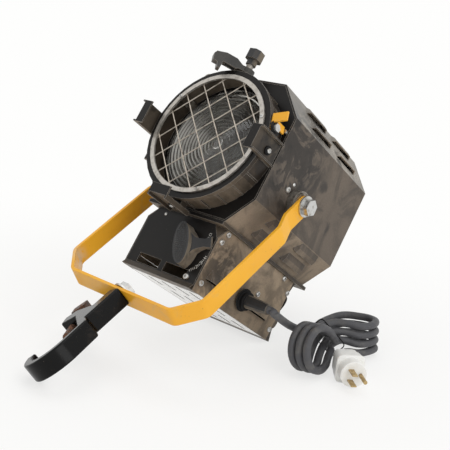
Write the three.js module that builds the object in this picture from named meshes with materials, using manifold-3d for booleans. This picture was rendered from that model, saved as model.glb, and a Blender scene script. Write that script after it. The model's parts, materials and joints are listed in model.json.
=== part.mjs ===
// Theatre fresnel light, lying back on its control box and its hook clamp.
// Millimetres, +Z up. X runs across the lamp, and the lens looks towards -Y and upwards.
import * as THREE from 'three';
import { mergeVertices } from 'three/addons/utils/BufferGeometryUtils.js';
import Module from 'manifold-3d';

const wasm = await Module();
wasm.setup();

// Clearances and overruns shared by every piece
const gap = 0.3;
const runningGap = 0.25;
const overrun = 1;
const roundSteps = 40;
const smallRoundSteps = 16;
const hexSides = 6;

// Housing section, heights counted from the yoke's pivot axis and set about the lens axis
const lensAxis = 24;
const shell = { halfWidth: 88, crownRise: 8, footDrop: 0.5, front: -67, back: 128, sheet: 2 };
const upperChamfer = { across: 38, down: 40 };
const lowerChamfer = { across: 27, up: 35.5 };
const housing = {
  halfWidth: shell.halfWidth,
  topHalfWidth: shell.halfWidth - upperChamfer.across,
  baseHalfWidth: shell.halfWidth - lowerChamfer.across,
  top: lensAxis + shell.halfWidth + shell.crownRise,
  shoulder: lensAxis + shell.halfWidth + shell.crownRise - upperChamfer.down,
  hip: lensAxis - shell.halfWidth - shell.footDrop + lowerChamfer.up,
  bottom: lensAxis - shell.halfWidth - shell.footDrop,
  front: shell.front,
  back: shell.back,
  sheet: shell.sheet,
};

// Louvres pressed into the housing and into the control box
const louvre = { width: 13, height: 5, length: 52, sheet: 1.2, taper: 5 };
const louvreShares = { shoulder: 0.5, crest: 0.8 };
const housingLouvreStarts = [-22, 48];
const upperLouvreShares = [0.28, 0.74];
const lowerLouvreShares = [0.22, 0.68];
const boxLouvreCentres = [-24, 64];
const boxLouvreRise = 20;
const rearLouvreHeights = [-8, 24, 56];

// Base rail between the housing and the control box
const boxHalfWidth = 60;
const railOverhang = 3;
const rail = { halfWidth: boxHalfWidth + railOverhang, thickness: 4.5, front: -70, back: 135 };
const slotX = 27;
const slot = { halfWidth: 6, front: -48, back: 72 };

// Control box under the rail
const boxDrop = 87;
const box = {
  halfWidth: boxHalfWidth,
  bottom: housing.bottom - boxDrop,
  front: -62.4,
  back: 119,
  sheet: 1.6,
  traySheet: 2,
  frontTray: 15,
  rearTray: 18,
};
const corner = { across: 11.5, along: 10.5, down: 15.5 };
const windows = { inner: 4, outer: 41, rise: 8, height: 12 };
const bottomSlot = { width: 4, length: 30 };
const bottomSlotColumnShares = [-0.6, -0.2, 0.2, 0.6];
const bottomSlotRows = [-22, 27, 74];
const rearHollow = { depth: 7, lip: 3, steps: 6, power: 0.8 };
const ventShares = { low: 0.2, high: 0.28 };
const frontFoot = { height: 6.5, flare: 4.5 };

// Focus drive, on one shaft through the control box
const focusRise = 44.5;
const focus = { x: slotX, z: box.bottom + focusRise, radius: 4, hole: 5.5 };
const knob = { halfWidth: 11, halfHeight: 27, depth: 18, skirt: 15, skirtDepth: 3, hubWall: 2, lean: -26 };
const pointer = { length: 33, halfWidth: 4.5, notch: 4, thickness: 3 };
const knobSides = 28;

// Lamp carriage inside the housing
const rodRise = 16.5;
const rod = { radius: 4, x: 38, z: housing.bottom + rodRise };
const carriage = { halfWidth: 46, halfLength: 26, thickness: 4, saddle: 7, bulbY: 2 };
const stem = { halfThickness: 4, halfLength: 9, nut: 11 };
const socket = { halfWidth: 22, halfLength: 14, height: 26 };
const bulb = { radius: 13, length: 62, neck: 7, neckLength: 8 };
const bulbTip = { from: 15, to: 75, steps: 4 };
const reflector = { radius: 46, wall: 1.4, halfAngle: 62, mount: 8, strut: 2.8 };
const terminal = { side: 10, y: 62, width: 44, length: 20, height: 16 };

// Lens door, its round sizes counted in from the housing's side and its depths from the housing's front
const door = {
  margin: 3,
  depth: 31.7,
  flangeStand: 2.5,
  portInset: 6,
  lipInset: 7.5,
  ledgeInset: 14,
  lensInset: 10,
  guardInset: 5,
  guardWidth: 5.5,
};
const doorOuter = housing.halfWidth - door.margin;
const doorBack = housing.front - gap;
const doorFront = doorBack - door.depth;
const portRadius = doorOuter - door.portInset;
const barrel = {
  outer: doorOuter,
  wall: 2.5,
  flange: doorOuter + door.flangeStand,
  flangeDepth: 6,
  lip: doorOuter - door.lipInset,
  lipThickness: 3,
  front: doorFront,
  back: doorBack,
  ledge: doorOuter - door.ledgeInset,
  ledgeThickness: 2.5,
};
const barrelRib = { count: 24, height: 1.4, width: 2.2 };
const lens = {
  radius: doorOuter - door.lensInset,
  rim: 4,
  back: doorBack - barrel.ledgeThickness - gap,
  step: 2.4,
  rings: 9,
  crown: 4,
  crownSteps: 3,
};
const clip = { angles: [30, 150, 270], width: 12, thickness: 1.6, reach: 8, grip: 4 };
const guard = {
  outer: doorOuter - door.guardInset,
  inner: doorOuter - door.guardInset - door.guardWidth,
  thickness: 2.6,
  wire: 0.85,
  wireSides: 6,
  spacing: 25,
};
const channelPlace = { stand: 10, reach: 25, tail: 10.7, footFront: 9 };
const channel = {
  stand: doorOuter + channelPlace.stand,
  width: 30,
  sheet: 2,
  front: doorFront - channelPlace.reach,
  back: doorBack - channelPlace.tail,
  lip: 4,
  tab: 12,
  footFront: doorFront + channelPlace.footFront,
};
const hingePlace = { stand: 10, depth: 5.7 };
const hinge = {
  x: -housing.halfWidth - hingePlace.stand,
  y: doorBack - hingePlace.depth,
  pin: 2,
  barrel: 4.4,
  low: -20,
  high: 12,
  leaf: 2.4,
  reach: 22,
};
const hingeShares = [0, 0.28, 0.72, 1];
const latchPlace = { depth: 8, rise: 0.5, tabDepth: 1.7 };
const latch = {
  angle: 17.5,
  y: doorFront + latchPlace.depth,
  seat: barrel.flange + latchPlace.rise,
  boss: 7,
  plate: 2,
  tailGap: 5,
  armFrom: 3,
  armTo: 12.5,
  tabFrom: 5,
  tabTo: 16.5,
  tabFront: doorFront + latchPlace.tabDepth,
  tabThickness: 2.2,
  tabReach: 20,
  bolt: 5.5,
  boltHeight: 4,
  shank: 2.6,
};
const keeper = { rise: 2, side: 8, radius: 2.6, length: 4 };
const postPlace = { depth: 13, bossRise: 5, rise: 26.5 };
const post = {
  x: 0,
  y: doorFront + postPlace.depth,
  radius: 4.5,
  top: lensAxis + doorOuter + postPlace.bossRise + postPlace.rise,
  boss: 8,
  bossTop: lensAxis + doorOuter + postPlace.bossRise,
};
const claw = {
  angle: -132,
  halfWidth: 7,
  wall: 3,
  seat: 0.5,
  eye: 9,
  eyeHeight: 6.5,
  neck: 12,
  throat: -1.5,
  back: 18,
  front: 32,
  crest: 10.5,
  nose: 46,
  noseSlope: 2,
  noseTop: 6.5,
  brow: 2.5,
  noseLow: -5,
  lip: -11,
  lipDepth: 4,
};
const thumb = { size: 19, height: 12, collar: 6.5, collarHeight: 7, chamfer: 4.5 };

// Yoke strap and its pivots
const yokePlace = { sideGap: 16.5, joggle: 8.5 };
const yoke = {
  halfSpan: housing.halfWidth + yokePlace.sideGap + yokePlace.joggle,
  pivotHalfSpan: housing.halfWidth + yokePlace.sideGap,
  length: 218,
  width: 24,
  thickness: 4,
  corner: 28,
  joggleStart: 32,
  joggleEnd: 54,
  swing: -27.2,
  hole: 6.3,
};
const pivot = { bolt: 6, head: 10.5, headHeight: 8, washer: 13, washerThickness: 2 };
const friction = { radius: 17, lining: 15, liningThickness: 3, bore: 6.5 };
const clampBolt = { head: 10.5, headHeight: 8, washer: 14, washerThickness: 2.2, depth: 24 };

// Hook clamp: shank, boss for the squeezing screw, and a hook for a 48 mm pipe
const hook = {
  swivel: 150,
  width: 23,
  shankHalf: 12,
  shank: 51.5,
  step: 8,
  bore: 26,
  wall: 11,
  boreX: 2,
  boreDown: 96,
  tipAngle: -34,
  tipBevel: 5,
};
const boss = { x: 53, down: 43, half: 12.5, reach: 14, heelShare: 0.33 };
const screw = { radius: 5.6, head: 10, headHeight: 15, stand: 15, tip: 36, hole: 6.1, sides: 12 };

// Cord, strain relief and plug
const cord = { diameter: 9.6, sides: 8 };
const glandRise = 24.5;
const gland = { y: 27, z: box.bottom + glandRise, flange: 11, flangeDepth: 6, bore: 5, neck: 4.8 };
const relief = { length: 36, base: 8.5, tip: 6.5 };

// Hank on the floor: its left end stands on edge and its right end lies flat
const hank = {
  turns: 3.31,
  halfLength: 76,
  fold: 25,
  waist: 7,
  step: 11.2,
  centre: 33,
  x: 131,
  sides: 6,
  stepsPerTurn: 24,
  leftTurn: -8,
  rightTurn: 84,
};
const hankLeftBow = { reach: 21, from: -30, length: 96 };
const hankRightBow = { reach: 15, from: 45, length: 60 };
const tie = { width: 3, thickness: 1.4, slack: 2.9, corner: 5 };

// Route points of the free stretches, from the pivot axis across and above the floor
const leadRoute = [
  [110, -47, 70],
  [116, -40, 63],
  [119.5, -26, 53],
  [120.5, -8, 44],
  [120, 10, 38],
];
const tailRoute = [
  [166.5, 78, 9.6],
  [165, 62, 11.5],
  [163.5, 48, 15.5],
  [164.5, 35, 18.5],
  [168.5, 25.5, 18],
];
const leadSteps = 26;
const tailSteps = 14;
const plug = {
  x: 176,
  y: 17,
  z: 17.7,
  heading: -39.6,
  back: 14.5,
  shoulder: 15.5,
  face: 17.4,
  backLength: 12,
  length: 45,
  chamfer: 4,
  squareness: 1.75,
};
const blade = { width: 6.3, thickness: 1.5, length: 17.5, apart: 12.7, side: -4, hole: 1.5, holeAt: 13 };
const groundPin = { radius: 2.4, length: 20, side: 8 };

const degrees = Math.PI / 180;

function material(color, roughness, metalness) {
  return new THREE.MeshStandardMaterial({ color, roughness, metalness });
}

const paint = {
  black: material(0x2b2a28, 0.55, 0.3),
  dusty: material(0x5a5249, 0.75, 0.2),
  gloss: material(0x1c1c1c, 0.3, 0.3),
  yellow: material(0xf0b432, 0.5, 0.1),
  zinc: material(0xc4c6c8, 0.35, 0.9),
  steel: material(0x9a958d, 0.45, 0.8),
  rust: material(0x6a4a38, 0.8, 0.4),
  knob: material(0x222224, 0.6, 0),
  glass: material(0xdfe6ea, 0.05, 0),
  mirror: material(0xe8e8ea, 0.12, 1),
  ceramic: material(0xe9e4d8, 0.6, 0),
  rubber: material(0x3c3c3e, 0.7, 0),
  plug: material(0xf2f2ef, 0.45, 0),
  brass: material(0xb89a55, 0.35, 0.9),
};

// A closed geometry as a solid that can be cut and joined
function solid(geometry) {
  const bare = geometry.clone();
  bare.deleteAttribute('normal');
  bare.deleteAttribute('uv');
  const merged = mergeVertices(bare);
  const vertProperties = new Float32Array(merged.attributes.position.array);
  const triVerts = new Uint32Array(merged.index.array);
  return new wasm.Manifold(new wasm.Mesh({ numProp: 3, vertProperties, triVerts }));
}

function geometryOf(body) {
  const mesh = body.getMesh();
  const geometry = new THREE.BufferGeometry();
  geometry.setAttribute('position', new THREE.BufferAttribute(mesh.vertProperties, 3));
  geometry.setIndex(new THREE.BufferAttribute(mesh.triVerts, 1));
  geometry.computeVertexNormals();
  return geometry;
}

function join(...bodies) {
  return bodies.reduce((sum, body) => sum.add(body));
}

function piece(name, shape, look, parent) {
  const geometry = shape instanceof THREE.BufferGeometry ? shape : geometryOf(shape);
  const mesh = new THREE.Mesh(geometry, look);
  mesh.name = name;
  parent.add(mesh);
  return mesh;
}

// An outline pushed along one axis, from one place to another
function slab(outline, axis, from, to, holes = []) {
  const shape = new THREE.Shape(outline.map(([u, v]) => new THREE.Vector2(u, v)));
  shape.holes = holes.map((hole) => new THREE.Path(hole.map(([u, v]) => new THREE.Vector2(u, v))));
  const geometry = new THREE.ExtrudeGeometry(shape, { depth: to - from, bevelEnabled: false });
  if (axis === 'y') {
    geometry.rotateX(Math.PI / 2).translate(0, to, 0);
  } else if (axis === 'x') {
    geometry.rotateX(Math.PI / 2).rotateZ(Math.PI / 2).translate(from, 0, 0);
  } else {
    geometry.translate(0, 0, from);
  }
  return solid(geometry);
}

function rectangle(left, right, low, high) {
  return [[left, low], [right, low], [right, high], [left, high]];
}

function block(x, y, z) {
  return slab(rectangle(x[0], x[1], y[0], y[1]), 'z', z[0], z[1]);
}

function arc(centre, radius, from, to, steps) {
  return Array.from({ length: steps + 1 }, (_, i) => {
    const angle = (from + ((to - from) * i) / steps) * degrees;
    return [centre[0] + radius * Math.cos(angle), centre[1] + radius * Math.sin(angle)];
  });
}

function circle(centre, radius, steps) {
  return arc(centre, radius, 0, 360, steps).slice(0, steps);
}

// A rod along an axis, centred at a place across it
function bar(axis, centre, radius, from, to, steps = smallRoundSteps) {
  return slab(circle(centre, radius, steps), axis, from, to);
}

// A profile of radius and depth turned about the Y axis through a height
function turned(profile, height, steps = roundSteps) {
  const points = profile.map(([radius, y]) => new THREE.Vector2(radius, y));
  const geometry = new THREE.LatheGeometry([...points, points[0].clone()], steps);
  return solid(geometry.translate(0, 0, height));
}

// A closed outline moved inwards by one distance
function inset(outline, distance) {
  const count = outline.length;
  const edge = (i) => {
    const [ax, ay] = outline[i % count];
    const [bx, by] = outline[(i + 1) % count];
    const run = Math.hypot(bx - ax, by - ay);
    const nx = -(by - ay) / run;
    const ny = (bx - ax) / run;
    return { nx, ny, offset: nx * ax + ny * ay + distance };
  };
  return outline.map((_, i) => {
    const a = edge(i + count - 1);
    const b = edge(i);
    const det = a.nx * b.ny - a.ny * b.nx;
    return [(a.offset * b.ny - b.offset * a.ny) / det, (a.nx * b.offset - b.nx * a.offset) / det];
  });
}

function moved(body, x, y, z) {
  return body.translate([x, y, z]);
}

function turnedAboutY(body, angle) {
  return body.rotate([0, angle, 0]);
}

function mirroredX(body) {
  return body.mirror([1, 0, 0]);
}

// A part lying flat turned to stand out of a face that rises at an angle, its +X side uppermost
function facing(part, rise) {
  return turnedAboutY(part.rotate([180, 0, 0]), -rise);
}

// The eight-sided section of the housing, running anticlockwise
const section = [
  [housing.baseHalfWidth, housing.bottom],
  [housing.halfWidth, housing.hip],
  [housing.halfWidth, housing.shoulder],
  [housing.topHalfWidth, housing.top],
  [-housing.topHalfWidth, housing.top],
  [-housing.halfWidth, housing.shoulder],
  [-housing.halfWidth, housing.hip],
  [-housing.baseHalfWidth, housing.bottom],
];

// A louvre lying along Y, its mouth towards -X, with the sheet's face at z = 0
function louvreParts(length) {
  const form = (mouth, width, half, height, low) => {
    const shoulder = half - louvre.taper;
    return wasm.Manifold.hull([-1, 1].flatMap((side) => [
      [mouth, side * half, low],
      [width, side * shoulder, low],
      [mouth, side * half, 0],
      [width, side * shoulder, 0],
      [mouth, side * shoulder, height],
      [width * louvreShares.shoulder, side * shoulder, height * louvreShares.crest],
    ]));
  };
  const sheet = louvre.sheet;
  const half = length / 2;
  const hood = form(0, louvre.width, half, louvre.height, -housing.sheet / 2);
  const depth = -housing.sheet - overrun;
  const hollow = form(-sheet, louvre.width - sheet, half - sheet, louvre.height - sheet, depth);
  return { hood, hollow };
}

// Two rows of louvres on the facet between two corners of the section, open downwards
function facetLouvres(low, high, shares) {
  const parts = louvreParts(louvre.length);
  const tilt = Math.atan2(high[1] - low[1], high[0] - low[0]) / degrees;
  const places = shares.flatMap((share) => housingLouvreStarts.map((start) => [
    low[0] + (high[0] - low[0]) * share,
    start + louvre.length / 2,
    low[1] + (high[1] - low[1]) * share,
  ]));
  const set = (part) => join(...places.map((place) => moved(facing(part, tilt), ...place)));
  return { hoods: set(parts.hood), hollows: set(parts.hollow) };
}

function housingShell() {
  let shell = slab(section, 'y', housing.front, housing.back, [inset(section, housing.sheet)]);
  const upper = facetLouvres(section[2], section[3], upperLouvreShares);
  const lower = facetLouvres(section[0], section[1], lowerLouvreShares);
  for (const flip of [(body) => body, mirroredX]) {
    shell = join(shell, flip(upper.hoods), flip(lower.hoods));
    shell = shell.subtract(flip(upper.hollows)).subtract(flip(lower.hollows));
  }
  const far = housing.halfWidth + overrun;
  const stemSlot = block(
    [slotX - slot.halfWidth, slotX + slot.halfWidth],
    [slot.front, slot.back],
    [housing.bottom - overrun, housing.bottom + housing.sheet + overrun],
  );
  return shell.subtract(bar('x', [0, 0], pivot.bolt + runningGap, -far, far)).subtract(stemSlot);
}

function frontPlate() {
  const outline = inset(section, housing.sheet + gap);
  const port = circle([0, lensAxis], portRadius, roundSteps);
  return slab(outline, 'y', housing.front, housing.front + housing.sheet, [port]);
}

function rearPanel() {
  const outline = inset(section, housing.sheet + gap);
  let panel = slab(outline, 'y', housing.back - housing.sheet, housing.back);
  const parts = louvreParts(louvre.length * 2);
  for (const height of rearLouvreHeights) {
    const place = (part) => moved(part.rotate([0, 0, 90]).rotate([90, 0, 180]), 0, housing.back, height);
    panel = panel.add(place(parts.hood)).subtract(place(parts.hollow));
  }
  return panel;
}

const railTop = housing.bottom - gap;
const railBottom = railTop - rail.thickness;
const boxTop = railBottom - gap;

function baseRail() {
  const plate = block([-rail.halfWidth, rail.halfWidth], [rail.front, rail.back], [railBottom, railTop]);
  const opening = block(
    [slotX - slot.halfWidth, slotX + slot.halfWidth],
    [slot.front, slot.back],
    [railBottom - overrun, railTop + overrun],
  );
  return plate.subtract(opening);
}

// A wedge that cuts one corner off a box, with its three legs along X, Y and Z
function cornerCut(place, legs) {
  const grow = 1 + overrun * (1 / legs[0] + 1 / legs[1] + 1 / legs[2]);
  const [x, y, z] = place;
  const apex = [x + overrun, y - overrun, z + overrun];
  const points = [
    apex,
    [apex[0] - legs[0] * grow, apex[1], apex[2]],
    [apex[0], apex[1] + legs[1] * grow, apex[2]],
    [apex[0], apex[1], apex[2] - legs[2] * grow],
  ];
  const geometry = new THREE.BufferGeometry();
  const faces = [0, 2, 1, 0, 1, 3, 0, 3, 2, 1, 2, 3];
  geometry.setAttribute('position', new THREE.Float32BufferAttribute(points.flat(), 3));
  geometry.setIndex(faces);
  return solid(geometry);
}

const trayHalf = box.halfWidth - box.sheet - gap;

function frontTray() {
  const back = box.front + box.frontTray;
  const sheet = box.traySheet;
  const legs = [corner.across, corner.along, corner.down];
  const face = (front, low, high) => [
    [front - frontFoot.flare, low],
    [back, low],
    [back, high],
    [front, high],
    [front, low + frontFoot.height],
  ];
  let outer = slab(face(box.front, box.bottom, boxTop), 'x', -trayHalf, trayHalf);
  const cut = cornerCut([trayHalf, box.front, boxTop], legs);
  outer = outer.subtract(cut).subtract(mirroredX(cut));
  let inner = block(
    [-trayHalf + sheet, trayHalf - sheet],
    [box.front + sheet, back + overrun],
    [box.bottom + sheet, boxTop - sheet],
  );
  const slopes = legs.map((leg) => 1 / leg);
  const share = 1 + sheet * Math.hypot(...slopes) - sheet * slopes.reduce((a, b) => a + b);
  const innerCut = cornerCut(
    [trayHalf - sheet, box.front + sheet, boxTop - sheet],
    legs.map((leg) => leg * share),
  );
  inner = inner.subtract(innerCut).subtract(mirroredX(innerCut));
  const near = [box.front - overrun, box.front + sheet + overrun];
  const windowLow = box.bottom + windows.rise;
  const windowSpan = [windowLow, windowLow + windows.height];
  const pane = block([windows.inner, windows.outer], near, windowSpan);
  const shaftHole = bar('y', [focus.x, focus.z], focus.hole, near[0], near[1]);
  return outer.subtract(inner).subtract(pane).subtract(mirroredX(pane)).subtract(shaftHole);
}

// The rear cover's back is hollowed, with a lip that flares at its foot
function rearTray() {
  const front = box.back - box.rearTray;
  const sheet = box.traySheet;
  const height = boxTop - box.bottom;
  const profile = (back, low, high) => {
    const curve = Array.from({ length: rearHollow.steps + 1 }, (_, i) => {
      const share = i / rearHollow.steps;
      const hollow = rearHollow.depth * Math.sin(Math.PI * share) ** rearHollow.power;
      return [back - hollow - rearHollow.lip * share, low + (high - low) * share];
    });
    return curve;
  };
  const outer = slab(
    [[front, boxTop], [front, box.bottom], ...profile(box.back, box.bottom, boxTop)],
    'x', -trayHalf, trayHalf,
  );
  const inner = slab(
    [
      [front - overrun, boxTop - sheet],
      [front - overrun, box.bottom + sheet],
      ...profile(box.back - sheet, box.bottom + sheet, boxTop - sheet),
    ],
    'x', -trayHalf + sheet, trayHalf - sheet,
  );
  const shaftHole = bar('y', [focus.x, focus.z], focus.hole, front, box.back + overrun);
  const vent = block([-trayHalf / 2, 0], [front, box.back + overrun],
    [box.bottom + height * ventShares.low, box.bottom + height * ventShares.high]);
  return outer.subtract(inner).subtract(shaftHole).subtract(vent);
}

function sidePanel(withGland) {
  const front = box.front + gap;
  const back = box.back - rearHollow.depth - rearHollow.lip;
  const outline = [
    [front, box.bottom],
    [back, box.bottom],
    [back, boxTop],
    [front + corner.along, boxTop],
    [front, boxTop - corner.down],
  ];
  let panel = slab(outline, 'x', box.halfWidth - box.sheet, box.halfWidth);
  const parts = louvreParts(louvre.length);
  for (const centre of boxLouvreCentres) {
    const place = (part) => moved(facing(part, 90), box.halfWidth, centre, box.bottom + boxLouvreRise);
    panel = panel.add(place(parts.hood)).subtract(place(parts.hollow));
  }
  if (withGland) {
    const far = box.halfWidth + overrun;
    panel = panel.subtract(bar('x', [gland.y, gland.z], gland.bore + gap, far - box.halfWidth, far));
  }
  return panel;
}

function bottomPlate() {
  const front = box.front + box.frontTray + gap;
  const back = box.back - box.rearTray - gap;
  const low = box.bottom;
  let plate = block([-trayHalf, trayHalf], [front, back], [low, low + box.traySheet]);
  for (const x of bottomSlotColumnShares.map((share) => share * box.halfWidth)) {
    for (const y of bottomSlotRows) {
      plate = plate.subtract(block(
        [x - bottomSlot.width / 2, x + bottomSlot.width / 2],
        [y - bottomSlot.length / 2, y + bottomSlot.length / 2],
        [low - overrun, low + box.traySheet + overrun],
      ));
    }
  }
  return plate;
}

function terminalBlock() {
  const low = box.bottom + box.traySheet + gap;
  const left = -box.halfWidth + terminal.side;
  const body = block(
    [left, left + terminal.width],
    [terminal.y - terminal.length / 2, terminal.y + terminal.length / 2],
    [low, low + terminal.height],
  );
  return body;
}

// An oval finger grip on a round skirt, with a forked pointer at its foot
function focusKnob(hubDepth) {
  const oval = Array.from({ length: knobSides }, (_, i) => {
    const angle = (i / knobSides) * Math.PI * 2;
    return [knob.halfWidth * Math.cos(angle), knob.halfHeight * Math.sin(angle)];
  });
  const grip = slab(oval, 'y', -knob.depth, -knob.skirtDepth);
  const skirt = bar('y', [0, 0], knob.skirt, -knob.skirtDepth - overrun, 0, knobSides);
  const fork = slab(
    [
      [0, -pointer.halfWidth],
      [pointer.length, -pointer.halfWidth],
      [pointer.length - pointer.notch, 0],
      [pointer.length, pointer.halfWidth],
      [0, pointer.halfWidth],
    ],
    'y', -pointer.thickness - overrun, -overrun,
  );
  const hub = bar('y', [0, 0], focus.radius + knob.hubWall, -overrun, hubDepth);
  return join(grip, skirt, fork, hub);
}

function fresnelLens() {
  const face = lens.back - lens.rim;
  const points = [[0, lens.back], [lens.radius, lens.back], [lens.radius, face]];
  const first = 1 / Math.sqrt(lens.rings);
  const edgeRadius = lens.radius - clip.grip;
  points.push([edgeRadius, face]);
  for (let i = lens.rings - 1; i >= 1; i -= 1) {
    const inner = edgeRadius * Math.sqrt(i / lens.rings);
    points.push([inner + overrun / 2, face - lens.step]);
    points.push([inner, face]);
  }
  const centreRadius = edgeRadius * first;
  for (let i = 1; i <= lens.crownSteps; i += 1) {
    const share = i / lens.crownSteps;
    const radius = centreRadius * Math.cos((share * Math.PI) / 2);
    points.push([Math.max(radius, 0), face - lens.crown * Math.sin((share * Math.PI) / 2)]);
  }
  points[points.length - 1][0] = 0;
  const profile = points.reverse().map(([radius, y]) => new THREE.Vector2(radius, y));
  return solid(new THREE.LatheGeometry(profile, roundSteps).translate(0, 0, lensAxis));
}

const postFoot = lensAxis + barrel.outer + barrelRib.height;

function doorBarrel() {
  const inner = barrel.outer - barrel.wall;
  const flangeBack = barrel.front + barrel.flangeDepth;
  const lipBack = barrel.front + barrel.lipThickness;
  const ledgeFront = barrel.back - barrel.ledgeThickness;
  let body = turned([
    [barrel.lip, barrel.front],
    [barrel.flange, barrel.front],
    [barrel.flange, flangeBack],
    [barrel.outer, flangeBack],
    [barrel.outer, barrel.back],
    [barrel.ledge, barrel.back],
    [barrel.ledge, ledgeFront],
    [inner, ledgeFront],
    [inner, lipBack],
    [barrel.lip, lipBack],
  ], lensAxis);
  for (let i = 0; i < barrelRib.count; i += 1) {
    const rib = block(
      [barrel.outer - barrel.wall / 2, barrel.outer + barrelRib.height],
      [flangeBack - overrun, barrel.back - overrun],
      [-barrelRib.width / 2, barrelRib.width / 2],
    );
    body = body.add(moved(turnedAboutY(rib, ((i + 0.5) / barrelRib.count) * 360), 0, 0, lensAxis));
  }
  const seat = block(
    [barrel.outer - barrel.wall / 2, latch.seat - gap],
    [latch.y - latch.boss, latch.y + latch.boss],
    [-latch.boss, latch.boss],
  );
  const postBoss = block(
    [post.x - post.boss, post.x + post.boss],
    [post.y - post.boss, post.y + post.boss],
    [lensAxis + barrel.outer - barrel.wall / 2, post.bossTop],
  ).subtract(bar('z', [post.x, post.y], post.radius + runningGap, postFoot, post.bossTop + overrun));
  return join(body, moved(turnedAboutY(seat, -latch.angle), 0, 0, lensAxis), postBoss, hingeDoorLeaf());
}

function hingeSpan(from, to) {
  const length = hinge.high - hinge.low;
  return [hinge.low + length * hingeShares[from] + gap, hinge.low + length * hingeShares[to] - gap];
}

function hingeDoorLeaf() {
  const [low, high] = hingeSpan(1, 2);
  const eye = bar('z', [hinge.x, hinge.y], hinge.barrel, low, high);
  const reach = -barrel.outer * Math.cos(Math.asin((lensAxis - low) / barrel.outer));
  const leaf = block([hinge.x, reach + barrel.wall / 2], [hinge.y - hinge.leaf / 2, hinge.y + hinge.leaf / 2],
    [low, high]);
  const bore = bar('z', [hinge.x, hinge.y], hinge.pin + runningGap, low - overrun, high + overrun);
  return join(eye, leaf).subtract(bore);
}

function hingeBracket() {
  const side = -housing.halfWidth - gap;
  const eyes = [hingeSpan(0, 1), hingeSpan(2, 3)].map(([low, high]) => bar('z',
    [hinge.x, hinge.y], hinge.barrel, low, high));
  const arms = [hingeSpan(0, 1), hingeSpan(2, 3)].map(([low, high]) => block(
    [hinge.x, hinge.x + hinge.leaf], [hinge.y, housing.front + hinge.reach], [low, high]));
  const plate = block([hinge.x, side], [housing.front + hinge.reach / 2, housing.front + hinge.reach],
    [hinge.low + gap, hinge.high - gap]);
  const bore = bar('z', [hinge.x, hinge.y], hinge.pin + runningGap, hinge.low, hinge.high);
  return join(...eyes, ...arms, plate).subtract(bore);
}

function lensClip(angle) {
  const inner = barrel.outer - barrel.wall - gap;
  const face = lens.back - lens.rim - gap;
  const foot = block([inner - clip.thickness, inner], [face - clip.reach, face + clip.thickness],
    [-clip.width / 2, clip.width / 2]);
  const nose = block([lens.radius - clip.grip / 2, inner], [face - clip.thickness, face],
    [-clip.width / 2, clip.width / 2]);
  const trimmed = join(foot, nose).intersect(turned([
    [0, face - clip.reach - overrun],
    [inner, face - clip.reach - overrun],
    [inner, face],
    [0, face],
  ], 0));
  return moved(turnedAboutY(trimmed, -angle), 0, 0, lensAxis);
}

function guardRing() {
  const back = barrel.front - gap;
  return turned([
    [guard.inner, back - guard.thickness],
    [guard.outer, back - guard.thickness],
    [guard.outer, back],
    [guard.inner, back],
  ], lensAxis);
}

// Crossed wires welded into one grid, its ends tucked behind the ring
function wireGrid() {
  const y = barrel.front + guard.wire;
  const reach = barrel.lip - gap;
  const perSide = Math.round((reach - guard.wire * 2) / guard.spacing);
  const wires = [];
  for (const turn of [45, -45]) {
    for (let i = 0; i < perSide * 2; i += 1) {
      const offset = (i - perSide + 0.5) * guard.spacing;
      const half = Math.sqrt((reach - guard.wire) ** 2 - offset ** 2);
      const wire = slab(circle([y, offset], guard.wire, guard.wireSides), 'x', -half, half);
      wires.push(moved(turnedAboutY(wire, turn), 0, 0, lensAxis));
    }
  }
  return join(...wires);
}

// An accessory channel on the +X side of the lens axis
function accessoryChannel() {
  const half = channel.width / 2;
  const inner = channel.stand - channel.sheet;
  const web = block([inner, channel.stand], [channel.front, channel.back], [-half, half]);
  const tab = block([channel.stand - channel.tab, channel.stand],
    [channel.front, channel.front + channel.sheet], [-half, half]);
  const lips = [-half, half - channel.sheet].map((low) => block(
    [inner, channel.stand + channel.lip], [channel.front, channel.back], [low, low + channel.sheet]));
  const foot = block([barrel.outer + gap, channel.stand],
    [channel.footFront, channel.back - overrun], [-half / 2, half / 2]);
  return join(web, tab, ...lips, foot);
}

// Yellow door latch, drawn with its pivot along X, its finger tab standing outwards
function doorLatch() {
  const base = latch.seat;
  const plate = [base, base + latch.plate];
  const tabBack = latch.tabFront + latch.tabThickness;
  const eye = bar('x', [latch.y, 0], latch.boss, ...plate);
  const arm = block(plate, [latch.y, housing.front - latch.tailGap], [latch.armFrom, latch.armTo]);
  const neck = block(plate, [latch.tabFront, latch.y], [0, latch.tabTo]);
  const tab = block([base, base + latch.tabReach], [latch.tabFront, tabBack], [latch.tabFrom, latch.tabTo]);
  const bore = bar('x', [latch.y, 0], latch.shank + runningGap, base - overrun, base + latch.plate + overrun);
  return join(eye, arm, neck, tab).subtract(bore);
}

function hexHead(axis, centre, radius, from, to) {
  return slab(circle(centre, radius, hexSides), axis, from, to);
}

function latchBolt() {
  const base = latch.seat + latch.plate + gap;
  const head = hexHead('x', [latch.y, 0], latch.bolt, base, base + latch.boltHeight);
  const shank = bar('x', [latch.y, 0], latch.shank, latch.seat - gap / 2, base + overrun);
  return join(head, shank);
}

// A peg on the front plate behind the closed latch's tail
function latchKeeper() {
  const radial = latch.seat + keeper.rise;
  return bar('y', [radial, keeper.side], keeper.radius, housing.front - keeper.length, housing.front - gap);
}

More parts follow.
